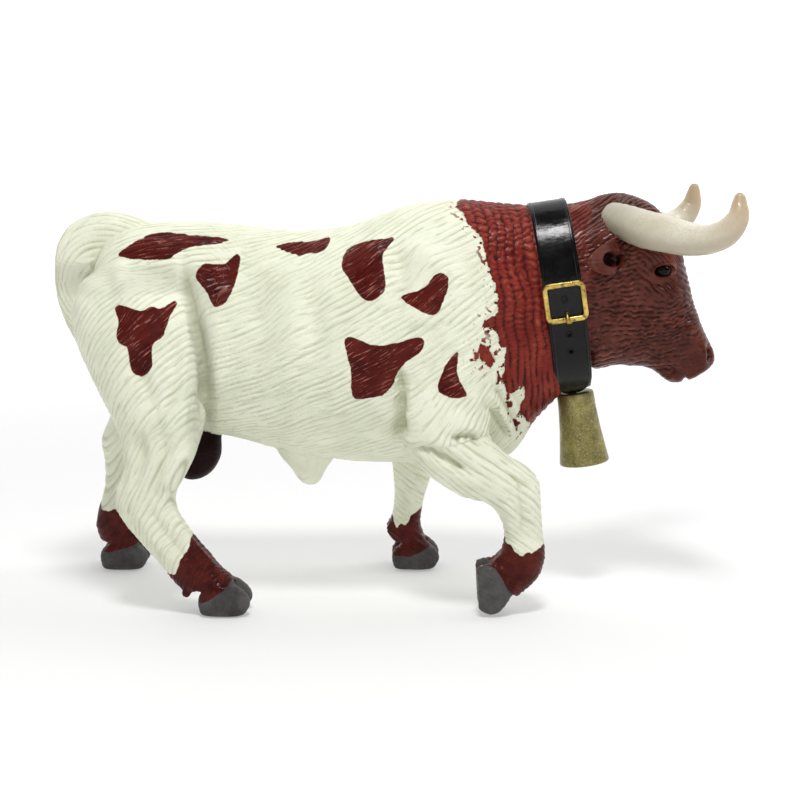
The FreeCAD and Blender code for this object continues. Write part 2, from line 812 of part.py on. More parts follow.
def build():
    """Every node's solid, each seated in its neighbour."""
    pieces = {}
    cuts = [neck_boss(fit_gap)]
    for name in legs:
        shape, root = leg(name)
        pieces[name] = shape.fuse(plug(root, spigot_radius, spigot_length))
        cuts += [shape, plug(root, spigot_radius, spigot_length, fit_gap)]
    for name, (shape, root) in (("tail", tail()), ("scrotum", scrotum())):
        pieces[name] = shape.fuse(plug(root, small_spigot_radius, small_spigot_length))
        cuts += [shape, plug(root, small_spigot_radius, small_spigot_length, fit_gap)]
    pieces["torso"] = trunk().cut(cuts)

    cuts = []
    for side, word in ((-1, "right"), (1, "left")):
        shape, root = horn(side)
        pieces["horn_" + word] = shape.fuse(plug(root, small_spigot_radius, small_spigot_length))
        cuts += [shape, plug(root, small_spigot_radius, small_spigot_length, fit_gap)]
        shape, root = ear(side)
        pieces["ear_" + word] = shape.fuse(plug(root, ear_spigot_radius, ear_spigot_length))
        cuts += [shape, plug(root, ear_spigot_radius, ear_spigot_length, fit_gap)]
    pieces["head"] = head().cut(cuts)

    pieces["collar_strap"] = collar_strap()
    pieces["buckle_frame"] = buckle_frame()
    pieces["buckle_prong"] = buckle_prong(pieces["buckle_frame"])
    pieces["bell"] = bell()
    return pieces


def main():
    os.makedirs("parts", exist_ok=True)
    for name, shape in build().items():
        state = "valid" if shape.isValid() else "INVALID"
        print(name, state, len(shape.Solids), "solids", round(shape.Volume), "mm3")
        shape.exportStep("parts/" + name + ".step")


main()
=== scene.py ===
import bpy
import math
import numpy as np
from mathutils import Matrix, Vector
from mathutils.bvhtree import BVHTree


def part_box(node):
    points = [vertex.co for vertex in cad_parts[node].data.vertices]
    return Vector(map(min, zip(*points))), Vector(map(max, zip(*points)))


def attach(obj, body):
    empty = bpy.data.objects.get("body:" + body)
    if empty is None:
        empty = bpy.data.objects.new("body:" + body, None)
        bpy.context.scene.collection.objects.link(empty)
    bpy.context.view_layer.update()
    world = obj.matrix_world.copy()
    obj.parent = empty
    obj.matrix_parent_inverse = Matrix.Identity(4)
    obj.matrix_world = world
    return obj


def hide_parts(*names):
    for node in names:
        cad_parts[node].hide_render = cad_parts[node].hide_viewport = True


# The skins, paint and small detail of a cast bull figurine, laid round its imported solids. Forms
# are worked out in mm and written to the meshes in metres.

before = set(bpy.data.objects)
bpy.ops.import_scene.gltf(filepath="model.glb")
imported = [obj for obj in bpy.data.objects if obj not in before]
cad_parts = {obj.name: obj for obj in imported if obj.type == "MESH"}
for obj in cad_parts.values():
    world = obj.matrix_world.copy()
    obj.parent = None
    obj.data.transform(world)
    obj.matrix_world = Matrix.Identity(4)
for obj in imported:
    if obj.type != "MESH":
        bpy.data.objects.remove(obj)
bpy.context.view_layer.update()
scene = bpy.context.scene
MM = 0.001

# The photo's camera: raised by ELEV, DIST mm from the point AIM, focal length FPX in pixels.
ELEV, DIST, FPX = math.radians(9.4), 400.0, 1667.0
AIM = (2.3, 0.0, 46.35)
SE, CE = math.sin(ELEV), math.cos(ELEV)
MIDDLE = 400  # middle of the photo, in pixels
PX = 4.17     # pixels per mm at the figure's middle plane

# Sizes in mm: body length, its reach behind x = 0, height, barrel width; the head's length,
# width and start in x; then widths and lengths of the limbs and details.
L, BACK, H, BW = 112.0, 74.0, 94.0, 44.0
HEADL, HEADW, HEAD_X = 40.0, 28.4, 38.0
HIND_W, FORE_W, SHEATH_W, SCROTUM_W = 23.0, 17.2, 9.0, 11.5
LIMB_TOP_Y, LEG_Y = 12.5, 20.5
HOOF_LONG, HOOF_HIGH, HOOF_W, CLEFT = 12.2, 7.4, 11.6, .7
TAIL_DEEP, TAIL_WIDE = 8.3, 6.6
HORN_THICK, HORN_ROOT_Y, HORN_OUT = 8.6, 8.0, 21.5
EAR_LONG, EAR_HIGH, EAR_ROOT_Y, EAR_BACK = 11.5, 8.8, 11.0, -35
STRAP_HALF, STRAP_THICK, TONGUE_HALF, TONGUE_IN = 4.45, .95, 4.42, 1.17
BUCKLE_LONG, BUCKLE_HIGH, BUCKLE_BAR = 9.9, 9.3, .62
BUCKLE_UP, HOLE_PITCH, TONGUE_LONG = .1, 4.1, 23.2
BELL_LONG, BELL_NECK_R, BELL_FLARE = 18.3, 4.4, 1.6
COAT_DEEP, CRIMP_DEEP, FUR_DEEP = .31, .27, .24  # the carved coat of body, neck and head
BARREL_R, BARREL_Z = 24.0, 57.0  # the round that the barrel's coat is combed about
TAIL_BEND_X, TAIL_BEND_Z = -68, 75

# Rings of the body: first edge (x, z), second edge (x, z) and width, in shares of the sizes.
TRUNK = [(.040, .830, .040, .638, .43), (.067, .899, .067, .532, .66),
         (.125, .936, .125, .473, .80), (.214, .947, .214, .426, .87),
         (.321, .942, .321, .404, .92), (.446, .925, .446, .364, .98),
         (.571, .937, .571, .341, 1.0), (.696, .988, .696, .335, .98),
         (.795, 1.003, .810, .335, .91), (.875, .996, .914, .353, .80),
         (.933, .990, .972, .446, .71), (.989, .987, 1.046, .536, .645)]
COLLAR = TRUNK[-1]  # the neck's last ring, which the strap follows
SHEATH = [(.385, .420, .570, .420, 1.0), (.395, .400, .560, .400, 1.0),
          (.425, .345, .540, .345, .90), (.446, .318, .524, .318, .95),
          (.456, .298, .516, .298, .82), (.466, .283, .507, .280, .58),
          (.476, .275, .498, .273, .32)]
SCROTUM = [(.190, .440, .290, .440, .60), (.186, .390, .298, .395, .82),
           (.184, .345, .297, .350, 1.0), (.200, .308, .280, .312, .92),
           (.218, .288, .256, .290, .50)]
SKULL = [(.075, .990, .225, .583, .96), (.19, .998, .27, .574, .94), (.39, 1.019, .39, .584, .89),
         (.60, .987, .49, .582, .80), (.73, .913, .565, .580, .72), (.80, .824, .62, .571, .62),
         (.85, .745, .675, .553, .54), (.91, .679, .725, .540, .49), (.975, .623, .80, .543, .46),
         (.985, .597, .87, .558, .32)]
TOE = [(.06, .00, .88, .00, .86), (.01, .30, 1.0, .36, 1.0), (.02, .58, .92, .70, .98),
       (.12, .80, .68, 1.02, .84)]
# Rings of the limbs, near (N) and far (F) side: the edges, the share of the way out from
# LIMB_TOP_Y to LEG_Y, and the width.
HAUNCH_N = [(.110, .875, .235, .865, -.60, .30), (.060, .838, .250, .815, -.22, .64),
            (.022, .793, .254, .766, .06, .91), (.009, .702, .275, .681, .19, 1.0),
            (.038, .606, .289, .596, .31, .97), (.070, .527, .286, .516, .44, .89),
            (.098, .463, .277, .447, .56, .78)]
HIND_N = [HAUNCH_N[-1], (.114, .399, .259, .383, .69, .64),
          (.113, .346, .239, .335, .79, .54), (.096, .293, .221, .298, .85, .49),
          (.102, .245, .223, .257, .88, .47), (.138, .187, .238, .218, .94, .40),
          (.185, .120, .269, .168, .98, .39), (.215, .076, .313, .113, 1.0, .43),
          (.238, .055, .346, .081, 1.0, .45)]
HAUNCH_F = [HAUNCH_N[0], HAUNCH_N[1],
            (.022, .793, .246, .766, .06, .91), (.004, .702, .259, .681, .19, 1.0),
            (.028, .617, .259, .596, .31, .97), (.045, .532, .232, .516, .44, .87),
            (.053, .468, .192, .452, .56, .76)]
HIND_F = [HAUNCH_F[-1], (.022, .394, .152, .390, .69, .63),
          (.009, .351, .121, .346, .76, .51), (.015, .293, .107, .293, .82, .43),
          (.012, .223, .098, .223, .85, .39), (-.006, .154, .098, .157, .92, .41),
          (-.010, .102, .105, .106, .98, .45), (.000, .072, .111, .077, 1.0, .46)]
SHOULDER_N = [(.652, .681, .857, .681, .00, .87), (.665, .574, .866, .585, .19, 1.0),
              (.679, .479, .871, .505, .50, .95), (.688, .410, .862, .443, .69, .84)]
FORE_N = [SHOULDER_N[-1], (.735, .346, .893, .400, .89, .72),
          (.804, .292, .936, .370, .99, .64), (.862, .272, .966, .332, 1.0, .60),
          (.889, .229, .971, .272, 1.0, .53), (.895, .189, .976, .202, 1.0, .50),
          (.887, .151, .981, .145, 1.0, .56), (.875, .132, .966, .087, 1.0, .57),
          (.862, .123, .923, .038, 1.0, .57)]
SHOULDER_F = [(.625, .681, .839, .660, .00, .87), (.621, .553, .826, .543, .19, 1.0),
              (.634, .457, .799, .447, .44, .88)]
FORE_F = [SHOULDER_F[-1], (.652, .372, .772, .367, .62, .73),
          (.661, .309, .759, .303, .76, .63), (.665, .261, .754, .261, .81, .59),
          (.668, .207, .740, .207, .88, .49), (.664, .154, .731, .154, .91, .48),
          (.653, .109, .729, .113, .96, .56), (.660, .073, .743, .078, 1.0, .59)]
# Tail: x, z, thickness. Horn: x, z, share outwards, thickness.
TAIL = [(.161, .899, .96), (.115, .919, 1.0), (.065, .926, 1.06), (.024, .911, 1.14),
        (-.003, .876, 1.12), (-.012, .820, 1.04), (-.012, .765, .97), (.000, .710, .92),
        (.020, .655, .84), (.045, .590, .70), (.065, .530, .42)]
HORN = [(.345, .957, -.09, .90), (.405, .951, .09, .94), (.497, .938, .33, 1.0),
        (.620, .927, .56, .95), (.717, .920, .72, .87), (.812, .922, .88, .76),
        (.895, .940, .98, .71), (.950, .973, 1.0, .57), (.960, 1.005, .97, .40),
        (.962, 1.024, .96, .26), (.962, 1.031, .96, .12)]

# Paint outlines in photo pixels: patches, the neck's coat with its islands, socks and hooves.
P1 = [(116, 255), (125, 247), (140, 239), (155, 233), (172, 232), (190, 235), (215, 236),
      (232, 240), (222, 243), (205, 245), (190, 247), (178, 252), (168, 259), (158, 259),
      (140, 258), (125, 257)]
P2 = [(113, 306), (118, 303), (130, 308), (142, 311), (152, 306), (160, 310), (173, 301),
      (175, 304), (169, 316), (165, 330), (163, 337), (152, 344), (152, 355), (153, 366),
      (148, 374), (140, 378), (132, 374), (128, 362), (127, 347), (122, 346), (116, 340),
      (116, 330), (118, 320), (114, 313)]
P3 = [(195, 278), (196, 270), (203, 263), (213, 263), (224, 264), (232, 256), (238, 253),
      (241, 257), (238, 270), (233, 285), (229, 297), (222, 306), (215, 308), (211, 302),
      (207, 292), (200, 284)]
P4 = [(273, 246), (285, 244), (297, 241), (310, 242), (325, 238), (331, 237), (327, 247),
      (322, 252), (310, 253), (298, 256), (287, 252)]
P5 = [(341, 268), (343, 255), (350, 246), (365, 241), (385, 239), (395, 237), (389, 246),
      (383, 256), (384, 270), (386, 282), (385, 292), (378, 299), (370, 302), (362, 299),
      (355, 289), (348, 277)]
P6 = [(400, 297), (405, 293), (418, 291), (427, 286), (433, 276), (441, 273), (448, 278),
      (448, 290), (443, 300), (440, 310), (434, 316), (425, 314), (412, 306)]
P7 = [(344, 341), (348, 336), (356, 338), (368, 344), (382, 346), (398, 343), (410, 339),
      (420, 337), (425, 341), (423, 350), (415, 357), (404, 365), (398, 374), (392, 387),
      (383, 396), (370, 398), (359, 400), (352, 397), (351, 385), (351, 370), (347, 355)]
P8 = [(458, 351), (457, 365), (458, 378), (464, 389), (468, 396), (460, 398), (448, 397),
      (438, 392), (437, 386), (441, 375), (447, 362), (454, 354)]
NECK = [(460, 199), (457, 207), (470, 225), (482, 240), (488, 265), (494, 285), (498, 300),
        (497, 312), (486, 318), (483, 326), (497, 332), (500, 345), (506, 347), (505, 362),
        (503, 380), (508, 398), (520, 388), (527, 390), (522, 412), (530, 424), (560, 440),
        (760, 440), (760, 150), (440, 150)]
SPECKS = [[(480, 343), (490, 349), (496, 361), (490, 368), (480, 360)],
          [(472, 350), (479, 355), (475, 364)], [(514, 420), (521, 424), (517, 430)],
          [(506, 400), (513, 404), (510, 412)], [(470, 206), (466, 201), (462, 212)],
          [(498, 372), (502, 380), (497, 386)]]
SOCK_HN = [(192, 536), (190, 545), (183, 555), (180, 563), (177, 570), (168, 571), (140, 640),
           (280, 640), (280, 520), (206, 522)]
SOCK_HF = [(88, 500), (96, 492), (101, 492), (104, 506), (112, 507), (118, 504), (126, 512),
           (134, 527), (144, 540), (160, 548), (160, 590), (80, 590)]
SOCK_FN = [(481, 563), (487, 546), (497, 538), (503, 532), (506, 540), (511, 543), (515, 548),
           (521, 552), (526, 548), (530, 549), (537, 545), (546, 541), (560, 560), (540, 640),
           (460, 640), (460, 563)]
SOCK_FF = [(380, 512), (391, 510), (397, 524), (401, 519), (405, 521), (411, 512), (418, 508),
           (425, 500), (434, 520), (450, 545), (450, 590), (370, 590)]
HOOF_HN = [(196, 599), (205, 597), (215, 592), (225, 585), (232, 578), (270, 570), (270, 640),
           (190, 640)]
HOOF_HF = [(94, 546), (101, 546), (112, 547), (125, 544), (139, 540), (170, 530), (170, 590),
           (80, 590)]
HOOF_FN = [(478, 563), (487, 561), (494, 563), (500, 572), (506, 583), (516, 597), (516, 640),
           (460, 640)]
HOOF_FF = [(388, 549), (397, 551), (410, 551), (420, 547), (428, 542), (440, 536), (470, 590),
           (380, 590)]


def to_px(p, y=None):
    """Photo place of points in mm; without y the far side is read through the mirror."""
    x, z = p[:, 0] - AIM[0], p[:, 2] - AIM[2]
    y = -np.abs(p[:, 1]) if y is None else y
    depth = DIST + y * CE - z * SE
    return np.stack([MIDDLE + FPX * x / depth, MIDDLE - FPX * (z * CE + y * SE) / depth], 1)


def from_px(px, py, y):
    """The point in mm at depth y that the photo shows at a pixel."""
    up = MIDDLE - py
    dx, dy, dz = px - MIDDLE, FPX * CE + up * SE, -FPX * SE + up * CE
    t = (y + DIST * CE) / dy
    return np.array([AIM[0] + t * dx, y, AIM[2] + DIST * SE + t * dz])


def place(xs, zs):
    return np.array([xs * L - BACK, zs * H])


def head_place(xs, zs):
    return np.array([HEAD_X + xs * HEADL, zs * H])


def cos_sin(degrees):
    return math.cos(math.radians(degrees)), math.sin(math.radians(degrees))


def circle(n):
    return np.arange(n) * 2 * np.pi / n


def xyz(x, y, z):
    """Points (n, 3) from arrays or single values."""
    return np.stack(np.broadcast_arrays(x, y, z), 1)


# Base forms
def dense(rows, k):
    """Rows with k - 1 more between each two, on a smooth curve."""
    r = np.array(rows, float)
    p = np.vstack([2 * r[0] - r[1], r, 2 * r[-1] - r[-2]])
    out = []
    for i in range(1, len(p) - 2):
        a, b, c, d = p[i - 1:i + 3]
        for s in range(k):
            t = s / k
            out.append(.5 * (2 * b + (c - a) * t + (2 * a - 5 * b + 4 * c - d) * t ** 2
                             + (3 * b - a - 3 * c + d) * t ** 3))
    out.append(r[-1])
    return np.array(out)


def oval(first, last, across, half, n=56, square=0.0):
    """A ring through two (x, z) points, half wide in y; square fills its corners."""
    c, s = np.cos(circle(n)), np.sin(circle(n))
    mid, reach = (first + last) / 2, (first - last) / 2
    f = 1 + square * np.sin(2 * circle(n)) ** 2
    return xyz(mid[0] + reach[0] * c * f, across + half * s * f, mid[1] + reach[1] * c * f)


def loft(rings):
    """Vertices and triangles of a closed body through rings of equal count."""
    n, m = len(rings[0]), len(rings)
    v = np.vstack(list(rings) + [rings[0].mean(0)[None], rings[-1].mean(0)[None]])
    i = np.arange(n)
    j = (i + 1) % n
    f = []
    for r in range(m - 1):
        a, b, c, d = r * n + i, r * n + j, (r + 1) * n + j, (r + 1) * n + i
        f += [np.stack([a, b, c], 1), np.stack([a, c, d], 1)]
    f.append(np.stack([j, i, np.full(n, m * n)], 1))
    f.append(np.stack([(m - 1) * n + i, (m - 1) * n + j, np.full(n, m * n + 1)], 1))
    return v, np.vstack(f)


def closed_loop(v, f, rings, n):
    """The same loft with its last ring joined to its first, instead of two caps."""
    i = np.arange(n)
    j = (i + 1) % n
    last = (rings - 1) * n
    return v[:-2], np.vstack([f[:-2 * n], np.stack([last + i, last + j, j], 1),
                              np.stack([last + i, j, i], 1)])


def swept(points, radii, n=24):
    """A round tube along points, with a steady frame."""
    p = np.array(points, float)
    rings, spoke = [], np.array([0.0, 0.0, 1.0])
    a = circle(n)[:, None]
    for i in range(len(p)):
        run = p[min(i + 1, len(p) - 1)] - p[max(i - 1, 0)]
        run /= np.linalg.norm(run)
        spoke = spoke - run * spoke.dot(run)
        spoke /= np.linalg.norm(spoke)
        rings.append(p[i] + radii[i] * (spoke * np.cos(a) + np.cross(run, spoke) * np.sin(a)))
    return loft(rings)


def body_rows(rows, width, square=0.0):
    return loft([oval(place(r[0], r[1]), place(r[2], r[3]), 0, r[4] * width / 2, square=square)
                 for r in dense(rows, 6)])


def limb_rows(rows, width, side):
    return loft([oval(place(r[0], r[1]), place(r[2], r[3]),
                      side * (LIMB_TOP_Y + (LEG_Y - LIMB_TOP_Y) * r[4]), r[5] * width / 2)
                 for r in dense(rows, 6)])


def toes(heel, side, turned):
    """The two toes of a hoof, turned by degrees and set on the ground."""
    out = []
    size = np.array([HOOF_LONG, HOOF_HIGH])
    width = (HOOF_W - CLEFT) / 2
    c, s = cos_sin(turned)
    for toe in (-1, 1):
        v, f = loft([oval(r[:2] * size, r[2:4] * size, toe * (width + CLEFT) / 2, r[4] * width / 2,
                          square=.06) for r in dense(TOE, 5)])
        x, z = v[:, 0] * c + v[:, 2] * s, -v[:, 0] * s + v[:, 2] * c
        out.append((xyz(x + heel * L - BACK, v[:, 1] + side * LEG_Y, z - z.min() + .04), f))
    return out


def dewclaws(xs, zs, side, lean):
    """The two small claws at the back of an ankle, leaning by degrees."""
    c, s = cos_sin(lean)
    axis = np.array([-s, 0, -c])
    radii = (1.35, 1.25, 1.0, .7, .3)
    out = []
    for claw in (-1, 1):
        x, z = place(xs, zs)
        start = np.array([x, side * LEG_Y + claw * 2.3, z]) - axis * radii[0]
        out.append(swept([start + axis * t for t in (0, 1.2, 2.4, 3.0, 3.4)], radii, 16))
    return out


def tail_form():
    rows = dense(TAIL, 5)
    pts = np.array([place(r[0], r[1]) for r in rows])
    rings = []
    for i, row in enumerate(rows):
        run = pts[min(i + 1, len(pts) - 1)] - pts[max(i - 1, 0)]
        run /= np.linalg.norm(run)
        reach = np.array([run[1], -run[0]]) * row[2] * TAIL_DEEP / 2
        rings.append(oval(pts[i] + reach, pts[i] - reach, 0, row[2] * TAIL_WIDE / 2, 32))
    return loft(rings)


def merge(parts):
    vs, fs, base = [], [], 0
    for v, f in parts:
        vs.append(v)
        fs.append(f + base)
        base += len(v)
    return np.vstack(vs), np.vstack(fs)


def make_mesh(name, v, f):
    """An object at the origin from vertices in mm."""
    me = bpy.data.meshes.new(name)
    me.vertices.add(len(v))
    me.vertices.foreach_set("co", (v * MM).astype(np.float32).ravel())
    k = f.shape[1]
    me.loops.add(len(f) * k)
    me.loops.foreach_set("vertex_index", f.astype(np.int32).ravel())
    me.polygons.add(len(f))
    me.polygons.foreach_set("loop_start", (np.arange(len(f)) * k).astype(np.int32))
    me.polygons.foreach_set("use_smooth", np.ones(len(f), bool))
    me.update(calc_edges=True)
    me.validate()
    ob = bpy.data.objects.new(name, me)
    scene.collection.objects.link(ob)
    return ob


def remeshed(parts, voxel):
    """One skin round all the parts, as vertices (mm) and quads."""
    v, f = merge(parts)
    ob = make_mesh("work", v, f)
    mod = ob.modifiers.new("skin", "REMESH")
    mod.mode = "VOXEL"
    mod.voxel_size = voxel * MM
    mod.adaptivity = 0.0
    ev = ob.evaluated_get(bpy.context.evaluated_depsgraph_get())
    me = ev.to_mesh()
    co = np.empty(len(me.vertices) * 3, np.float32)
    me.vertices.foreach_get("co", co)
    idx = np.empty(len(me.loops), np.int32)
    me.loops.foreach_get("vertex_index", idx)
    size = np.empty(len(me.polygons), np.int32)
    me.polygons.foreach_get("loop_total", size)
    assert (size == 4).all()
    ev.to_mesh_clear()
    bpy.data.objects.remove(ob)
    return co.reshape(-1, 3).astype(float) / MM, idx.reshape(-1, 4)


# Fields on a skin: v vertices, f quads, e edges, n normals, q photo places.
def neighbours(f):
    e = np.vstack([f[:, [0, 1]], f[:, [1, 2]], f[:, [2, 3]], f[:, [3, 0]]])
    return np.unique(np.sort(e, 1), axis=0)


def smooth(v, e, times, weight=1.0):
    n = len(v)
    a = np.concatenate([e[:, 0], e[:, 1]])
    b = np.concatenate([e[:, 1], e[:, 0]])
    deg = np.bincount(a, minlength=n).astype(float)
    deg[deg == 0] = 1
    w = np.asarray(weight, float)
    w = w[:, None] if w.ndim else w
    for _ in range(times):
        m = np.stack([np.bincount(a, v[b, k], n) for k in range(v.shape[1])], 1) / deg[:, None]
        v = v + (m - v) * .6 * w
    return v


def normals(v, f):
    fn = np.cross(v[f[:, 2]] - v[f[:, 0]], v[f[:, 3]] - v[f[:, 1]])
    out = np.zeros_like(v)
    for c in range(4):
        for k in range(3):
            out[:, k] += np.bincount(f[:, c], fn[:, k], len(v))
    return out / np.maximum(np.linalg.norm(out, axis=1), 1e-12)[:, None]


def lattice(seed):
    return np.random.default_rng(seed).random((64, 64, 64)).astype(np.float32)


LATTICES = [lattice(s) for s in range(4)]


def noise(p, seed=0):
    """Smooth value noise in 0..1 at points (n, 3)."""
    g = LATTICES[seed % 4]
    q = p + 17.3 * seed
    i = np.floor(q).astype(int)
    t = q - i
    t = t * t * (3 - 2 * t)
    i &= 63
    j = (i + 1) & 63
    x0, y0, z0, x1, y1, z1 = i[:, 0], i[:, 1], i[:, 2], j[:, 0], j[:, 1], j[:, 2]
    tx, ty, tz = t[:, 0], t[:, 1], t[:, 2]
    a = g[x0, y0, z0] * (1 - tx) + g[x1, y0, z0] * tx
    b = g[x0, y1, z0] * (1 - tx) + g[x1, y1, z0] * tx
    c = g[x0, y0, z1] * (1 - tx) + g[x1, y0, z1] * tx
    d = g[x0, y1, z1] * (1 - tx) + g[x1, y1, z1] * tx
    return (a * (1 - ty) + b * ty) * (1 - tz) + (c * (1 - ty) + d * ty) * tz


def wobble(x, y, z, seed):
    """Noise about zero."""
    return noise(xyz(x, y, z), seed) - .5


def step(x, lo, hi):
    t = np.clip((x - lo) / (hi - lo), 0, 1)
    return t * t * (3 - 2 * t)


def bell_curve(x, middle, width):
    return np.exp(-((x - middle) / width) ** 2)


def line_dist(q, pts):
    """Distance in photo pixels from q to a polyline, and the share along it."""
    pts = np.array(pts, float)
    best, along = np.full(len(q), 1e9), np.zeros(len(q))
    for k in range(len(pts) - 1):
        a, d = pts[k], pts[k + 1] - pts[k]
        t = np.clip(((q - a) @ d) / max(d @ d, 1e-9), 0, 1)
        r = np.hypot(*(q - a - t[:, None] * d).T)
        hit = r < best
        best[hit] = r[hit]
        along[hit] = (k + t[hit]) / (len(pts) - 1)
    return best, along


def inside(q, pts):
    """Signed distance in pixels to a closed outline, positive inside."""
    pts = np.array(pts, float)
    d, _ = line_dist(q, list(pts) + [pts[0]])
    odd = np.zeros(len(q), bool)
    x, y = q[:, 0], q[:, 1]
    for (x1, y1), (x2, y2) in zip(pts, np.roll(pts, -1, 0)):
        if y1 != y2:
            hit = (y1 > y) != (y2 > y)
            odd ^= hit & (x < (x2 - x1) * (y - y1) / (y2 - y1) + x1)
    return np.where(odd, d, -d)


def rounded_outline(pts):
    """The outline with its corners cut twice."""
    p = np.array(pts, float)
    for _ in range(2):
        after = np.roll(p, -1, 0)
        p = np.stack([p * .78 + after * .22, p * .22 + after * .78], 1).reshape(-1, 2)
    return p


def best_inside(q, polys):
    """Depth in mm inside the nearest outline, worked out only near each one."""
    margin = 12
    out = np.full(len(q), -3.0)
    for p in polys:
        r = rounded_outline(p)
        lo, hi = r.min(0) - margin, r.max(0) + margin
        k = np.nonzero(((q > lo) & (q < hi)).all(1))[0]
        out[k] = np.maximum(out[k], inside(q[k], r) / PX)
    return out


def stroke(v, n, q, pts, radius, height, side=0, where=None):
    """A raised or sunk line in the side view, faded at its ends and on the silhouette."""
    lo, hi = np.min(pts, 0) - radius * PX * 3, np.max(pts, 0) + radius * PX * 3
    sel = (q[:, 0] > lo[0]) & (q[:, 0] < hi[0]) & (q[:, 1] > lo[1]) & (q[:, 1] < hi[1])
    if side:
        sel &= v[:, 1] * side > 0
    if where is not None:
        sel &= where
    idx = np.nonzero(sel)[0]
    if not len(idx):
        return v
    d, t = line_dist(q[idx], pts)
    d = d / (radius * PX)
    face = step(np.abs(n[idx, 1]), .05, .45)
    fade = step(t, -.02, .22) * step(1 - t, -.02, .22)
    v[idx] += n[idx] * (height * np.exp(-d * d) * face * (.25 + .75 * fade))[:, None]
    return v


def moved(pts, dx, dy, k=1.0, flip=False):
    p = np.array(pts, float)
    c = p.mean(0)
    q = (p - c) * k
    if flip:
        q[:, 0] *= -1
    return q + c + (dx, dy)


def hair(p, u, w, along, across, seed):
    """Combed strands: narrow grooves that start, fork and end along u."""
    side = np.where(p[:, 1] > 0, 31.0, 0.0)
    bend = wobble(u / 20, w / 13, side, seed + 1) * 3.2
    bend += wobble(u / 6, w / 1.9, side + 4, seed + 2) * .62
    c = np.abs(np.sin(np.pi * (w + bend) / across))
    m = wobble(u / along, (w + bend) / (across * .9), side + 8, seed)
    m2 = wobble(u / (along * .45), (w + bend) / (across * .8), side + 15, seed + 1)
    groove = (1 - c ** .75) * step(m * .6 + m2 * .4 + .5, .20, .56)
    return .35 - groove * 1.65 + m * .6 + m2 * .3


def combed(p, x, t, degrees, along, across, seed):
    c, s = cos_sin(degrees)
    return hair(p, x * c + t * s, -x * s + t * c, along, across, seed)


# Materials
class Paint:
    """A Principled material, with short ways to build its nodes."""

    def __init__(self, name, rough=.5, coat=0.0, metal=0.0, spec=.5, coat_rough=None):
        self.mat = bpy.data.materials.new(name)
        self.mat.use_nodes = True
        self.nt = self.mat.node_tree
        self.sockets = self.nt.nodes["Principled BSDF"].inputs
        for key, value in (("Roughness", rough), ("Metallic", metal), ("Coat Weight", coat),
                           ("Specular IOR Level", spec), ("Coat Roughness", coat_rough)):
            if value is not None:
                self.sockets[key].default_value = value

    def node(self, kind):
        return self.nt.nodes.new("ShaderNode" + kind)

    def feed(self, socket, value):
        if isinstance(value, tuple):
            socket.default_value = (*value, 1)
        elif isinstance(value, (int, float)):
            socket.default_value = value
        else:
            self.nt.links.new(value, socket)

    def set(self, key, value):
        self.feed(self.sockets[key], value)

    def attr(self, name):
        a = self.node("Attribute")
        a.attribute_name = name
        return a.outputs["Fac"]

    def pos(self):
        return self.node("TexCoord").outputs["Object"]

    def noise(self, scale, detail=3.0, rough=.5, at=None):
        t = self.node("TexNoise")
        for key, value in (("Scale", scale), ("Detail", detail), ("Roughness", rough)):
            t.inputs[key].default_value = value
        self.feed(t.inputs["Vector"], at or self.pos())
        return t.outputs["Fac"]

    def math(self, op, a, b):
        m = self.node("Math")
        m.operation = op
        self.feed(m.inputs[0], a)
        self.feed(m.inputs[1], b)
        return m.outputs[0]

    def add(self, a, b):
        return self.math("ADD", a, b)

    def times(self, a, b):
        return self.math("MULTIPLY", a, b)

    def range(self, x, lo, hi, to0=0.0, to1=1.0):
        m = self.node("MapRange")
        m.interpolation_type = "SMOOTHSTEP"
        self.feed(m.inputs["Value"], x)
        for key, value in (("From Min", lo), ("From Max", hi), ("To Min", to0), ("To Max", to1)):
            m.inputs[key].default_value = value
        return m.outputs[0]

    def mix(self, fac, a, b):
        m = self.node("Mix")
        m.data_type = "RGBA"
        self.feed(m.inputs["Factor"], fac)
        self.feed(m.inputs[6], a)
        self.feed(m.inputs[7], b)
        return m.outputs[2]

    def over(self, base, colour, x, lo, hi, share=1.0):
        """A colour laid over base, from none where x is lo to share where it is hi."""
        return self.mix(self.range(x, lo, hi, 0, share), base, colour)

    def mottled(self, scale, first, second, detail=4, rough=.6, lo=.3, hi=.7):
        return self.mix(self.range(self.noise(scale, detail, rough), lo, hi), first, second)

    def strands(self, fine=1.0):
        """Thin hairs, drawn out along the combed direction, for fine grooves in the bump and lines
        in the colour.
        """
        c = self.node("CombineXYZ")
        self.feed(c.inputs[0], self.times(self.attr("hu"), .16))
        self.feed(c.inputs[1], self.times(self.attr("hw"), 1.5 * fine))
        return self.noise(1.0, 3.0, .6, c.outputs[0])

    def bump(self, height, strength, dist):
        b = self.node("Bump")
        b.inputs["Strength"].default_value = strength
        b.inputs["Distance"].default_value = dist
        self.feed(b.inputs["Height"], height)
        self.set("Normal", b.outputs["Normal"])


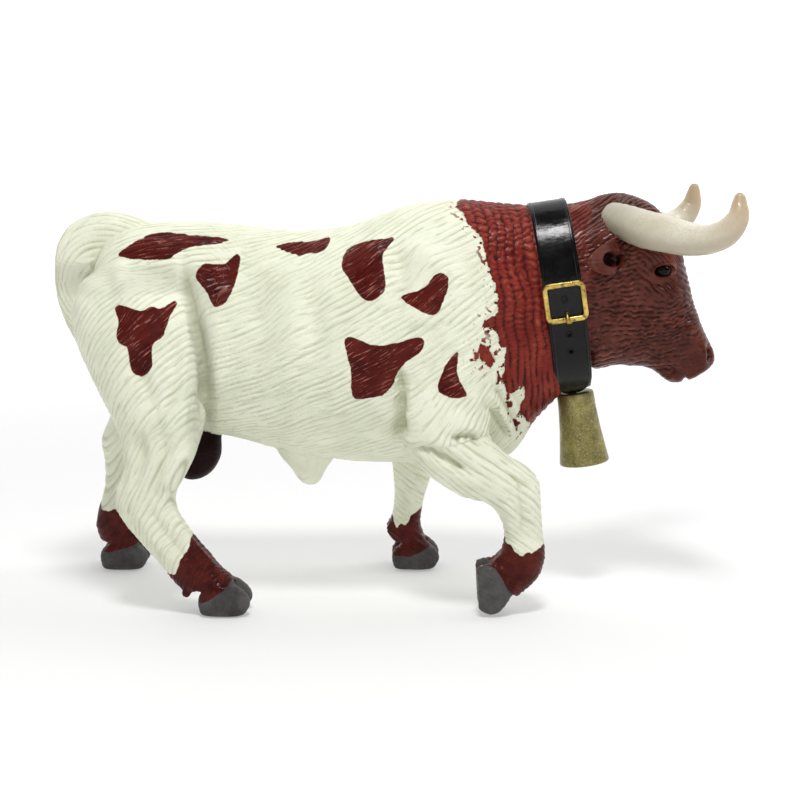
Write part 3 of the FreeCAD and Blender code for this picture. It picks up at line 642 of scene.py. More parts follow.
def hide_paint():
    """Cream coat with red patches, neck and socks, grey hooves and the dark scrotum."""
    g = Paint("hide", .42, .04, spec=.06, coat_rough=.11)
    relief_light, hairs = g.attr("relief_light"), g.strands()
    cream = g.mottled(90, (.775, .795, .625), (.835, .85, .695), lo=.35, hi=.65)
    # Painted shade: the cream darkens in the grooves of the carved coat.
    cream = g.over(cream, (.44, .46, .31), relief_light, .05, -.85, .62)
    # Painted shade in the fine grooves that the bump draws along the strands.
    cream = g.over(cream, (.47, .48, .34), hairs, .43, .36, .34)
    # Painted shade in the creases and hollows of the muscles.
    cream = g.over(cream, (.46, .48, .32), g.attr("crease_shade"), -.03, -.60, .60)
    jag = g.add(g.times(g.math("SUBTRACT", g.noise(900, 3, .6), .5), .9),
                g.times(g.math("SUBTRACT", g.noise(330, 3, .6), .5), 1.3))

    def edge(name, rag, hi=.10):
        return g.range(g.add(g.attr(name), g.times(jag, rag)), -.10, hi)

    red = g.mottled(160, (.052, .0032, .0023), (.108, .0105, .0065))
    # Painted shade in the grooves of the red patches.
    red = g.over(red, (.045, .004, .003), relief_light, .0, -.7, .5)
    # Thin pale lines along the strands of the red patches: part worn paint, part painted glints.
    thin = g.times(g.range(g.strands(1.7), .575, .60),
                   g.range(g.noise(420, 4, .7), .40, .60, .15, 1.0))
    patch = edge("patch", .50)
    col = g.mix(patch, cream, g.mix(g.times(thin, .62), red, (.50, .20, .15)))
    neck_red = g.mottled(140, (.150, .0125, .0085), (.255, .034, .022))
    # Painted shade in the neck's grooves, then a painted highlight on its ridges.
    neck_red = g.over(neck_red, (.030, .003, .0025), relief_light, .10, -.55, .92)
    neck_red = g.over(neck_red, (.46, .14, .09), relief_light, .20, .60, .34)
    spots = g.times(g.range(g.noise(620, 2, .5), .60, .63), g.range(g.attr("neck"), -3.4, -.6))
    neck = g.math("MAXIMUM", edge("neck", 1.6, .12), spots)
    col = g.mix(neck, col, neck_red)
    sock = edge("sock", .8)
    col = g.mix(sock, col, g.mottled(300, (.040, .005, .004), (.105, .014, .010)))
    hoof = edge("hoof", .35)
    col = g.mix(hoof, col, g.mottled(260, (.058, .054, .054), (.100, .094, .094)))
    g.set("Base Color", g.over(col, (.012, .0035, .003), g.attr("dark"), .3, .7))
    paint = g.math("MAXIMUM", g.math("MAXIMUM", patch, neck), sock)
    rough = g.math("SUBTRACT", g.range(g.noise(200, 3, .5), .2, .8, .40, .54), g.times(paint, .16))
    g.set("Roughness", g.add(rough, g.times(hoof, .14)))
    g.set("Coat Weight", g.add(.03, g.times(paint, .06)))
    g.bump(g.add(g.noise(1500, 4, .6), g.times(hairs, 2.4)), .62, .00034)
    return g.mat


def head_paint():
    g = Paint("head_paint", .34, .17, spec=.06, coat_rough=.07)
    relief_light = g.attr("relief_light")
    brown = g.mottled(150, (.058, .010, .006), (.125, .030, .019))
    # Painted shade in the head's grooves, then a painted highlight on its ridges.
    brown = g.over(brown, (.011, .002, .0015), relief_light, .05, -.80, .88)
    brown = g.over(brown, (.26, .10, .075), relief_light, .30, .70, .30)
    brown = g.over(brown, (.088, .018, .011), g.attr("snout"), -1.5, 2.5, .6)
    red = g.mottled(140, (.120, .018, .012), (.20, .042, .030))
    # Painted shade in the grooves of the red nape.
    red = g.over(red, (.03, .005, .004), relief_light, .05, -.45, .7)
    col = g.over(brown, red, g.attr("nape"), -1.0, 1.0)
    # The nostril darkened, with painted shade in the ear's cup and a painted shadow round the ear.
    g.set("Base Color", g.over(col, (.012, .004, .003), g.attr("dark"), .2, .9))
    g.set("Roughness", g.range(g.noise(240, 3, .5), .25, .75, .22, .36))
    g.bump(g.noise(1600, 4, .6), .25, .0001)
    return g.mat


def eye_paint():
    g = Paint("eye_gloss", .08, spec=.12, coat_rough=.03)
    g.set("Base Color", g.mottled(500, (.002, .0015, .0015), (.007, .004, .0035), 2, .5))
    return g.mat


def horn_paint():
    g = Paint("horn_ivory", .34, .30, spec=.3, coat_rough=.15)
    ivory = g.mottled(110, (.60, .56, .435), (.71, .675, .555), 5, .65, .35, .65)
    # Painted shade: the horn darkens towards its underside.
    ivory = g.over(ivory, (.36, .31, .22), g.attr("lower"), .15, .90, .60)
    turn = g.node("Mapping")
    g.feed(turn.inputs["Vector"], g.pos())
    turn.inputs["Scale"].default_value = (.35, .35, 2.2)
    turn.inputs["Rotation"].default_value = (0, 0, .6)
    growth = g.noise(210, 4, .7, turn.outputs["Vector"])
    ivory = g.over(ivory, (.46, .40, .30), growth, .52, .72, .22)
    ivory = g.over(ivory, (.42, .37, .28), g.noise(2200, 2, .5), .56, .70, .50)
    ivory = g.over(ivory, (.33, .30, .22), g.attr("tip"), .34, .02, .85)
    g.set("Base Color", g.over(ivory, (.45, .315, .185), g.attr("tip"), .40, .85, .82))
    g.bump(g.noise(700, 4, .6), .2, .0001)
    return g.mat


def strap_paint():
    g = Paint("strap_black", .2, spec=.22, coat_rough=.12)
    g.set("Base Color", g.mottled(300, (.002, .002, .0022), (.006, .006, .007), lo=.35))
    g.set("Roughness", g.range(g.noise(170, 4, .6), .3, .7, .13, .28))
    g.bump(g.add(g.noise(260, 4, .6), g.times(g.noise(1400, 3, .6), .3)), .35, .0003)
    return g.mat


def brass_paint():
    g = Paint("brass_paint", .33, .25, 1.0)
    gold = g.mottled(420, (.40, .27, .055), (.64, .47, .13), 4, .65, .35, .65)
    g.set("Base Color", g.over(gold, (.06, .05, .035), g.noise(800, 4, .7), .55, .62, .85))
    g.set("Roughness", g.range(g.noise(600, 3, .5), .3, .7, .25, .5))
    g.bump(g.noise(900, 4, .6), .35, .0002)
    return g.mat


def bell_paint():
    g = Paint("bell_bronze", .42, .15, .75)
    bronze = g.mottled(260, (.17, .145, .042), (.31, .265, .090), 5, .7, .35, .65)
    bronze = g.over(bronze, (.50, .44, .24), g.noise(2600, 2, .6), .50, .72, .6)
    g.set("Base Color", g.over(bronze, (.09, .075, .03), g.noise(1500, 3, .6), .56, .72, .6))
    g.set("Roughness", g.range(g.noise(900, 3, .5), .3, .7, .34, .55))
    g.bump(g.noise(1300, 4, .7), .5, .0002)
    return g.mat


def floor_paint():
    """A matt floor that glows away from the figure, so that it ends in white."""
    g = Paint("floor", .8, spec=.1)
    g.set("Base Color", (.58, .58, .58))
    g.set("Emission Color", (1, 1, 1))
    away = g.node("VectorMath")
    away.operation = "LENGTH"
    g.feed(away.inputs[0], g.pos())
    g.set("Emission Strength", g.range(away.outputs["Value"], .08, .80, .335, .86))
    return g.mat


def piece(name, v, f, node, slot, mat, attrs=None, nrm=None):
    """A visible piece on the body, with values at its vertices for the paint."""
    ob = make_mesh(name, v, f)
    for key, values in (attrs or {}).items():
        ob.data.attributes.new(key, "FLOAT", "POINT").data.foreach_set(
            "value", np.asarray(values, np.float32))
    if nrm is not None:
        ob.data.normals_split_custom_set_from_vertices([tuple(c) for c in nrm.tolist()])
    ob.data.materials.append(mat)
    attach(ob, "root")
    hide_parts(node)
    return ob


# Body skin
parts = [body_rows(TRUNK, BW, square=.02), body_rows(SHEATH, SHEATH_W),
         body_rows(SCROTUM, SCROTUM_W)]
for near_rows, far_rows, width in ((HAUNCH_N, HAUNCH_F, HIND_W), (SHOULDER_N, SHOULDER_F, FORE_W),
                                   (HIND_N, HIND_F, HIND_W), (FORE_N, FORE_F, FORE_W)):
    parts += [limb_rows(near_rows, width, -1), limb_rows(far_rows, width, 1)]
for heel, side, turned in ((.265, -1, 0), (.000, 1, 0), (.838, -1, 87.0), (.662, 1, 0)):
    parts += toes(heel, side, turned)
for xs, zs, side, lean in ((.243, .062, -1, 15), (.002, .130, 1, 35), (.886, .134, -1, 50),
                           (.660, .112, 1, 35)):
    parts += dewclaws(xs, zs, side, lean)
parts.append(tail_form())
# the web that joins the tail to the rump
parts.append(swept([from_px(104, 240, 0), from_px(97, 252, 0), from_px(90, 266, 0),
                    from_px(86, 282, 0)], (2.2, 2.7, 2.5, 1.8)))

VOXEL = 0.34
v, f = remeshed(parts, VOXEL)
e = neighbours(f)
print("body", len(v), "vertices")

# Which casting each face belongs to, from the solids of the frame.
BODY_NODES = ["torso", "tail", "scrotum", "hindleg_right", "hindleg_left", "foreleg_right",
              "foreleg_left"]
TORSO, TAIL_K, SCROTUM_K, HIND_NEAR, HIND_FAR, FORE_NEAR, FORE_FAR = range(7)


def node_tree(name):
    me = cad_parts[name].data
    co = np.empty(len(me.vertices) * 3, np.float32)
    me.vertices.foreach_get("co", co)
    me.calc_loop_triangles()
    tri = np.empty(len(me.loop_triangles) * 3, np.int32)
    me.loop_triangles.foreach_get("vertices", tri)
    return BVHTree.FromPolygons([tuple(c) for c in co.reshape(-1, 3).tolist()],
                                [tuple(t) for t in tri.reshape(-1, 3).tolist()])


centre = v[f].mean(1)
near = np.full((len(f), len(BODY_NODES)), 1e9)
for k, name in enumerate(BODY_NODES):
    lo, hi = [np.array(c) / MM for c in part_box(name)]
    find = node_tree(name).find_nearest
    for i in np.nonzero(((centre > lo - 1.5) & (centre < hi + 1.5)).all(1))[0].tolist():
        hit = find(Vector(centre[i] * MM))
        if hit[3] is not None:
            near[i, k] = hit[3] / MM
near[:, TORSO] -= .02
label = near.argmin(1)
for _ in range(3):
    vote = np.zeros((len(v), len(BODY_NODES)))
    for c in range(4):
        np.add.at(vote, (f[:, c], label), 1)
    label = vote[f].sum(1).argmax(1)
vlabel = vote.argmax(1)

foot = (v[:, 2] < 7.0) | ((vlabel == FORE_NEAR) & (to_px(v)[:, 1] > 556))
tuft = ((np.abs(v[:, 1]) < 7) & (v[:, 2] < 33) & (v[:, 0] > -30) & (v[:, 0] < -10)
        & (vlabel == TORSO))
v = smooth(v, e, 34 if VOXEL < .5 else 12, np.where(foot, .10, np.where(tuft, .35, 1.0)))
n = normals(v, f)
q = to_px(v)

# Muscles, folds and hollows: places in photo pixels, radius and height in mm, side.
RELIEF = 2.1
for pts, radius, height, side in [
    ([(183, 262), (188, 290), (196, 320), (203, 355), (206, 392), (207, 428)], 1.7, -1.25, 0),
    ([(196, 300), (212, 330), (216, 365), (216, 400)], 3.2, .55, 0),
    ([(170, 285), (182, 320), (188, 360), (190, 400)], 4.0, .60, 0),
    ([(120, 262), (140, 268), (160, 276), (176, 290)], 3.4, -.55, 0),
    ([(100, 262), (110, 285), (112, 310), (108, 335)], 2.4, -.45, 0),
    ([(92, 250), (86, 270), (84, 300), (82, 330)], 2.2, .35, 0),
    ([(120, 300), (126, 330), (134, 360), (146, 392)], 2.2, -.35, 0),
    ([(130, 350), (150, 395), (160, 430), (165, 455)], 1.6, -.40, 0),
    ([(175, 340), (176, 380), (168, 420), (160, 445)], 1.6, -.35, 0),
    ([(214, 268), (236, 282), (252, 300), (258, 330)], 4.2, -.55, 0),
    ([(255, 262), (262, 300), (262, 350), (252, 400)], 2.6, -.30, 0),
    ([(287, 262), (293, 300), (293, 350), (285, 405)], 2.4, .28, 0),
    ([(312, 268), (316, 310), (316, 360), (308, 410)], 2.2, -.28, 0),
    ([(330, 300), (336, 350), (336, 400), (330, 430)], 2.4, .25, 0),
    ([(398, 250), (404, 262), (408, 285), (400, 320)], 2.6, -.70, 0),
    ([(384, 245), (378, 275), (376, 310)], 3.0, .45, 0),
    ([(424, 250), (432, 262), (446, 270), (456, 300)], 3.4, .50, 0),
    ([(430, 320), (420, 335), (408, 350), (402, 372)], 2.4, -.50, 0),
    ([(400, 365), (402, 395), (401, 420), (395, 440)], 1.3, -1.10, 0),
    ([(408, 385), (412, 405), (408, 425)], 2.6, .55, 0),
    ([(425, 370), (450, 400), (470, 415), (492, 420)], 2.4, -.45, 0),
    ([(440, 330), (452, 345), (470, 352)], 2.4, .40, 0),
    ([(450, 441), (462, 436), (474, 436), (484, 440)], 1.1, -.90, -1),
    ([(484, 396), (492, 410), (500, 426), (510, 440)], 1.0, -.55, 0),
    ([(494, 384), (502, 400), (512, 418), (522, 430)], 1.0, -.55, 0),
    ([(500, 372), (512, 392), (522, 408), (534, 420)], 1.0, -.45, 0),
    ([(489, 390), (497, 405), (506, 422), (516, 436)], 1.2, .45, 0),
    ([(524, 380), (530, 394), (538, 408)], 1.2, -.40, 0),
    ([(408, 449), (430, 450), (445, 456), (455, 463), (466, 471)], 1.1, -.80, -1),
    ([(432, 444), (450, 449), (470, 459), (490, 470)], 2.0, .50, -1),
    ([(430, 462), (448, 470), (468, 480), (484, 488)], 1.6, .40, -1),
    ([(490, 456), (505, 466), (520, 480), (526, 494)], 1.4, -.45, -1),
    ([(512, 470), (520, 485), (522, 520), (520, 540)], 1.3, -.40, -1),
    ([(530, 476), (532, 500), (533, 530)], 1.6, .35, -1),
    ([(508, 500), (512, 520), (512, 540)], 1.3, .30, -1),
    ([(235, 428), (255, 430), (275, 440), (292, 458)], 1.6, -.35, 0),
    ([(300, 440), (340, 444), (390, 445)], 2.6, -.30, 0),
    ([(300, 430), (250, 420), (215, 405)], 3.0, .25, 0),
]:
    v = stroke(v, n, q, pts, radius, height * RELIEF, side)
near_hind = vlabel == HIND_NEAR
for pts, radius, height in [
    ([(140, 430), (142, 455), (136, 478), (130, 492)], 1.4, -.55),
    ([(170, 430), (166, 460), (158, 485), (156, 505)], 1.3, -.45),
    ([(186, 450), (174, 475), (168, 495)], 1.6, .40),
    ([(126, 440), (133, 465), (128, 490)], 1.3, .40),
    ([(150, 505), (160, 525), (176, 545), (196, 566)], 1.3, -.45),
    ([(135, 512), (150, 534), (168, 560)], 1.2, .35),
    ([(176, 512), (186, 530), (202, 550), (216, 566)], 1.4, .35),
]:
    v = stroke(v, n, q, pts, radius, height * RELIEF, -1, where=near_hind)
v = smooth(v, e, 2)
n = normals(v, f)
# How deep each point lies in a hollow, for painted shade there.
crease_shade = np.einsum("ij,ij->i", v - smooth(v, e, 40), n)

# Coat: t runs round the barrel. The combed pattern goes round the back and the front of the
# figure, so that it makes no level rings there.
x, z = v[:, 0], v[:, 2]
t = BARREL_R * np.arctan2(z - BARREL_Z, np.abs(v[:, 1]) + .01)
comb_x = x + .65 * (np.abs(v[:, 1]) - 20) * (step(-x, 8, 34) - step(x, 14, 40))
w_thigh = step(206 - q[:, 0], -14, 22) * step(q[:, 1], 262, 300)
w_rump = step(225 - q[:, 0], -30, 30) * step(282 - q[:, 1], -16, 24)
w_shoulder = step(q[:, 0], 380, 440) * step(q[:, 1], 230, 300)
w_lower = step(q[:, 1], 425, 455) * step(230 - q[:, 0], -10, 10)
w_fore = np.isin(vlabel, (FORE_NEAR, FORE_FAR)) * 1.0
hgt, hu, hw = 0, 0, 0
# share, second axis, degrees of the grooves and of the shader's fine hairs, length, spacing, seed
for w, axis, groove_deg, hair_deg, along, across, seed in (
        (1.0, t, 26, 27, 6, 1.28, 0), (w_shoulder, t, 36, 34, 6, 1.36, 3),
        (w_rump, t, 8, 8, 6, 1.4, 2), (w_thigh, z, 46, 48, 6, 1.36, 1),
        (w_lower, z, 62, 62, 6, 1.3, 1), (w_fore, z, -38, -38, 4, 1.25, 0)):
    hgt = hgt * (1 - w) + combed(v, comb_x, axis, groove_deg, along, across, seed) * w
    c, s = cos_sin(hair_deg)
    hu = hu * (1 - w) + (comb_x * c + axis * s) * w
    hw = hw * (1 - w) + (-comb_x * s + axis * c) * w

# Crimped coat of the neck, in columns that run along the collar.
neck_d = np.maximum(inside(q, NECK), np.max([inside(q, s) for s in SPECKS], 0)) / PX
c, s = cos_sin(8.0)
u_n, w_n = -x * s + t, x * c + (z - 60) * s
w_c = (w_n + wobble(u_n / 6, w_n / 5, 0, 2) * 2.6) / 2.1
ripple = u_n + np.mod(np.floor(w_c) * .618, 1) * 1.3 + wobble(u_n / 1.6, w_n / 1.1, 5, 3) * 1.9
wave = 1 - 2 * (1 - np.abs(np.sin(np.pi * ripple / 1.18))) ** 1.1
column = np.abs(np.sin(np.pi * w_c)) ** .4
low_n = step(q[:, 1], 330, 380)
crimp = (wave * .60 * column - (1 - column) * .9) * (1 - low_n * .75)
crimp += hair(v, u_n, w_n, 5, 1.5, 1) * low_n * .8
w_neck = step(neck_d, -2.0, 2.0)
hgt = hgt * (1 - w_neck) + crimp * w_neck
hu, hw = np.where(w_neck > .5, w_n, hu), np.where(w_neck > .5, u_n, hw)
hw = hw + wobble(hu / 10, hw / 7, 0, 1) * 3.0

# Tail: strands along its bend.
w_tail = (vlabel == TAIL_K) * 1.0
tail_x, tail_z = x - TAIL_BEND_X, z - TAIL_BEND_Z
along_tail = np.arctan2(tail_z, tail_x) * 9.0
across_tail = np.hypot(tail_x, tail_z) + v[:, 1] * .6
hgt = hgt * (1 - w_tail) + hair(v, along_tail, across_tail * 1.1, 9, 1.5, 2) * w_tail

# Socks and hooves are read at the leg's own middle plane, so that the outlines ring the leg.
sock_d, hoof_d = np.full(len(v), -9.0), np.full(len(v), -9.0)
for k, sock, hoof in ((HIND_NEAR, SOCK_HN, HOOF_HN), (HIND_FAR, SOCK_HF, HOOF_HF),
                      (FORE_NEAR, SOCK_FN, HOOF_FN), (FORE_FAR, SOCK_FF, HOOF_FF)):
    sel = np.nonzero(vlabel == k)[0]
    leg_q = to_px(v[sel], -LEG_Y if k in (HIND_NEAR, FORE_NEAR) else LEG_Y)
    sock_d[sel] = inside(leg_q, sock) / PX
    hoof_d[sel] = inside(leg_q, hoof) / PX

hgt = smooth(hgt[:, None], e, 1)[:, 0]
w_hoof = step(hoof_d, -.3, .5)
w_sheath = (step(8.0 - np.abs(v[:, 1]), 0, 2) * step(q[:, 1], 446, 456) * step(q[:, 0], 252, 262)
            * (1 - step(q[:, 0], 334, 344)) * (vlabel == TORSO))
amp = COAT_DEEP * (1 - w_hoof) * (1 - .75 * (vlabel == SCROTUM_K))
amp = amp * (1 - .35 * w_fore) * (1 - .30 * w_lower)
amp = amp * (1 - w_neck) + CRIMP_DEEP * w_neck
amp *= 1 - .95 * w_sheath
amp *= 1 - .35 * step(t, 24, 32) * (1 - w_neck)
v = v + n * (hgt * amp)[:, None]
growth_rings = np.sin(z * 2 * np.pi / 1.15 + noise(v / 2.5, 1) * 5) * .03
v = v + n * (growth_rings * w_hoof)[:, None]
n = normals(v, f)

NEAR_PATCHES = [P1, P2, P3, P4, P5, P6, P7, P8]
FAR_PATCHES = [moved(P2, 14, -10, 1.0, True), moved(P3, 40, 60, 1.1, True),
               moved(P5, -95, 20, 1.05, True), moved(P7, 20, -30, .95, True),
               moved(P6, -10, -24, 1.1, True), moved(P1, 12, 6, .8), moved(P8, -190, -8, 1.1),
               moved(P4, 95, -14, .8)]
patch_d = np.where(v[:, 1] < 0, best_inside(q, NEAR_PATCHES), best_inside(q, FAR_PATCHES))
# The coat's height places painted shade in the grooves and painted highlights on the neck's
# ridges; the hollows get painted shade too.
attrs = {"hu": hu, "hw": hw, "crease_shade": crease_shade, "relief_light": hgt * (1 - .9 * w_sheath),
         "patch": np.where(vlabel == TORSO, patch_d, -6.0), "neck": neck_d, "sock": sock_d,
         "hoof": hoof_d, "dark": (vlabel == SCROTUM_K) * 1.0}
SLOTS = {"torso": "cream_hide", "tail": "cream_hide", "scrotum": "dark_skin"}
HIDE = hide_paint()
# The torso's skin is one surface in three pieces, each within the export's limit of triangles.
centre = v[f].mean(1)
shares = [(name, "", label == k) for k, name in enumerate(BODY_NODES) if k != TORSO]
for part_name, lo, hi in (("_rear", -99, -38), ("_middle", -38, 4), ("_front", 4, 99)):
    shares.append(("torso", part_name,
                   (label == TORSO) & (centre[:, 0] >= lo) & (centre[:, 0] < hi)))
for name, part_name, chosen in shares:
    used, faces = np.unique(f[chosen], return_inverse=True)
    piece("skin_" + name + part_name, v[used], faces.reshape(-1, 4), name,
          SLOTS.get(name, "leg_paint"), HIDE, {a: val[used] for a, val in attrs.items()}, n[used])

# Head: its neck end goes in under the strap.
HEAD_PAINT = head_paint()
neck_end = [(COLLAR[0] * L - BACK - HEAD_X) / HEADL, COLLAR[1],
            (COLLAR[2] * L - BACK - HEAD_X) / HEADL, COLLAR[3], COLLAR[4] * BW / HEADW]
skull = loft([oval(head_place(r[0], r[1]), head_place(r[2], r[3]), 0, r[4] * HEADW / 2, square=.03)
              for r in dense([neck_end] + [list(r) for r in SKULL], 6)])
HEAD_VOXEL = 0.27
hv, hf = remeshed([skull], HEAD_VOXEL)
hv = smooth(hv, neighbours(hf), 16)
hn = normals(hv, hf)
hq = to_px(hv)
# brow, lids, cheek, jaw, lips and nostril
for pts, radius, height in [
    ([(650, 262), (658, 258), (668, 259), (677, 266)], 1.1, .45),
    ([(646, 256), (656, 250), (668, 251), (680, 258)], 1.5, .45),
    ([(654, 282), (663, 284), (674, 280)], 1.0, -.45),
    ([(640, 282), (652, 292), (668, 296), (682, 294)], 1.8, .45),
    ([(630, 300), (645, 312), (665, 318), (686, 318)], 2.2, -.45),
    ([(612, 300), (622, 325), (640, 345), (655, 352)], 3.6, .60),
    ([(600, 300), (606, 330), (618, 355)], 2.4, -.40),
    ([(668, 330), (682, 334), (694, 336)], 1.8, .30),
    ([(656, 364), (666, 360), (676, 360), (686, 366), (692, 374)], 1.0, .40),
    ([(655, 366), (662, 369), (670, 372), (677, 375), (684, 378)], .42, -1.0),
    ([(658, 374), (666, 377), (675, 378)], 1.1, .35),
    ([(700, 342), (704, 350), (705, 360), (702, 366)], 1.2, .40),
    ([(709, 345), (711, 351), (711, 358), (709, 363)], .75, -1.5),
    ([(690, 352), (696, 360), (697, 370)], .8, -.30),
    ([(696, 300), (690, 310), (688, 322)], 1.2, -.30),
    ([(640, 330), (648, 345), (652, 360)], 1.2, -.30),
    ([(664, 366), (670, 366), (674, 369), (673, 374), (667, 375), (663, 371), (664, 366)],
     .35, -.35),
]:
    hv = stroke(hv, hn, hq, pts, radius, height)
hn = normals(hv, hf)
# the notch between the lips, also on the outline
lip_d, _ = line_dist(hq, [(672, 371), (679, 375), (686, 382)])
hv[:, 2] += np.where(np.abs(hv[:, 1]) < 9, 1.0, 0) * .9 * np.exp(-(lip_d / 2.3) ** 2)
# the eye: a hollow for the ball, with a lid all round it
EYE_PX = (663, 271)
ex, ey = (hq[:, 0] - EYE_PX[0]) / PX, (hq[:, 1] - EYE_PX[1]) / PX
lid_d = np.hypot(ex / 2.1, (ey + ex * .12) / 1.30)
near_eye = np.nonzero((np.hypot(ex, ey) < 1.2) & (hv[:, 1] < 0) & (hn[:, 1] < -.3))[0]
eye_y = -float(hv[near_eye, 1].mean())
hv += hn * (np.where(np.abs(hv[:, 1]) > 4, 1, 0)
            * (-.95 * step(1.0 - lid_d, -.12, .25) + .62 * bell_curve(lid_d, 1.22, .20)))[:, None]
hn = normals(hv, hf)
# short tousled hair, in three directions
hx = hv[:, 0]
side = np.where(hv[:, 1] > 0, 31.0, 0.0)
ht = np.where(hv[:, 2] > 80, hv[:, 2] + (14 - np.abs(hv[:, 1])) * .9, hv[:, 2])
tilt = wobble(hx / 6, ht / 6, side, 1) * 2.4 + wobble(hx / .95, ht / 2.2, side + 9, 2) * 1.15
cheek_h = combed(hv, hx, ht + tilt, 7, 1.8, 1.12, 0)
cheek_h += wobble(hx / .75, ht / .5, side + 2, 3) * 1.2
poll_h = combed(hv, hx, ht + tilt, 46, 2.6, 1.25, 1) * 1.25
brow_h = combed(hv, hx, ht + tilt, -32, 2.4, 1.15, 2)
up_w = step(252 - hq[:, 1], -8, 14)
brow_w = step(hq[:, 0], 628, 650) * step(300 - hq[:, 1], -12, 16) * (1 - up_w)
curl = cheek_h * (1 - up_w) + poll_h * up_w
curl = curl * (1 - brow_w) + brow_h * brow_w
snout = (hq[:, 0] - 683 + (hq[:, 1] - 350) * .5) / PX
face_w = 1 - step(snout, -3.0, 3.0)
eye_mask = step(np.hypot(hq[:, 0] - EYE_PX[0], (hq[:, 1] - EYE_PX[1]) * 1.3), 10, 22)
under = step(hq[:, 1], 352, 366) * .5
# the ear's cup goes on into the head
cup_h = np.hypot((hq[:, 0] - 613) / 10.0, (hq[:, 1] - 260) / 8.5)
side_w = step(np.abs(hn[:, 1]), .3, .6) * step(hv[:, 2], 60, 66)
ear_mask = 1 - .7 * step(1.3 - cup_h, 0, .3)
cup_form = -1.3 * step(1 - cup_h, -.05, .5) + .7 * bell_curve(cup_h, 1.3, .25)
hv = hv + hn * (side_w * cup_form)[:, None]
hv = hv + hn * (curl * FUR_DEEP * (face_w * .75 + .25) * eye_mask * (1 - under)
                * ear_mask)[:, None]
hv = hv + hn * ((noise(hv / .9, 3) - .5) * .10 * (1 - face_w))[:, None]
nape = (590 - hq[:, 0] - 6 * wobble(hx / 2, ht / 2, side, 2)) / PX
NOSTRIL = [(708, 346), (712, 349), (713, 356), (711, 362), (708, 362), (707, 354)]
nostril = step(inside(hq, NOSTRIL) / PX, -.5, .3)
ear_d = np.hypot((hq[:, 0] - 604) / 15.0, (hq[:, 1] - 259) / 19.5)
ear_shade = side_w * .55 * bell_curve(ear_d, 1.12, .13) * step(hq[:, 0] + hq[:, 1], 850, 870)
# The nostril darkened, painted shade in the ear's cup and a painted shadow round the ear's edge.
dark = np.maximum.reduce([nostril, side_w * step(1 - cup_h, -.02, .35), ear_shade])
piece("head_skin", hv, hf, "head", "brown_head", HEAD_PAINT,
      {"relief_light": curl, "snout": snout, "nape": nape, "dark": dark}, normals(hv, hf))


def ball(c, r, flat, n=32, m=20):
    """A ball with its poles along y, scaled by flat."""
    rows = []
    for i in range(1, m):
        a = math.pi * i / m
        rows.append(xyz(r * math.sin(a) * np.cos(circle(n)) * flat[0] + c[0],
                        r * math.cos(a) * flat[1] + c[1],
                        r * math.sin(a) * np.sin(circle(n)) * flat[2] + c[2]))
    return loft(rows)


SIDES = ((-1, "right"), (1, "left"))
EYE = eye_paint()
for s, word in SIDES:
    here = from_px(*EYE_PX, -eye_y)
    ev, ef = ball((here[0], s * (eye_y - 1.15), here[2]), 1.95, (1.05, 1, .80))
    piece("eyeball_" + word, ev, ef, "head", "brown_head", EYE)

# Horns
HORN_PAINT = horn_paint()
for s, word in SIDES:
    rows = dense(HORN, 10)
    pts = np.array([(p[0], s * (HORN_ROOT_Y + r[2] * HORN_OUT), p[1])
                    for r in rows for p in [head_place(r[0], r[1])]])
    gv, gf = swept(pts, [max(r[3], .06) * HORN_THICK / 2 for r in rows], 64)
    tip = np.append(np.repeat(np.linspace(0, 1, len(pts)), 64), (0, 1))
    out = gv - np.vstack([np.repeat(pts, 64, 0), pts[0], pts[-1]])
    length = np.linalg.norm(out, axis=1) + 1e-9
    ang = np.arctan2(out[:, 1], out[:, 2])
    rough = wobble(tip * 22, ang * 1.2, 0, 1) * .20 * (1 - tip)
    rough += np.sin(tip * 150 + noise(xyz(tip * 9, ang, 0), 2) * 6) * .045 * step(.45 - tip, 0, .3)
    # The share round to the underside places painted shade there.
    piece("horn_skin_" + word, gv + out / length[:, None] * rough[:, None], gf, "horn_" + word,
          "horn_ivory", HORN_PAINT, {"lower": .5 - .5 * out[:, 2] / length, "tip": tip})


# Ears
def ear_form():
    """A cupped leaf that points outwards at y < 0, swung back by EAR_BACK degrees."""
    rings = []
    for k in np.linspace(0, 1, 26):
        out = -0.18 + 1.18 * k
        wide = math.sin(math.pi * min(max((k + .12) / 1.14, 0), 1)) ** .62
        up = max(wide, .10) * EAR_HIGH / 2 * np.sin(circle(48))
        cup = .62 * step(k, .05, .5) * EAR_HIGH
        fwd = (1.15 - .45 * k) * np.cos(circle(48)) + cup * (up / EAR_HIGH) ** 2 * 2.3 - .5 * k
        rings.append(xyz(fwd, -out * EAR_LONG, up - 2.0 * out))
    ev, ef = loft(rings)
    c, s = cos_sin(EAR_BACK)
    base = head_place(.34, .882)
    ev = xyz(ev[:, 0] * c - ev[:, 1] * s, ev[:, 0] * s + ev[:, 1] * c, ev[:, 2])
    return ev + (base[0], -EAR_ROOT_Y, base[1]), ef


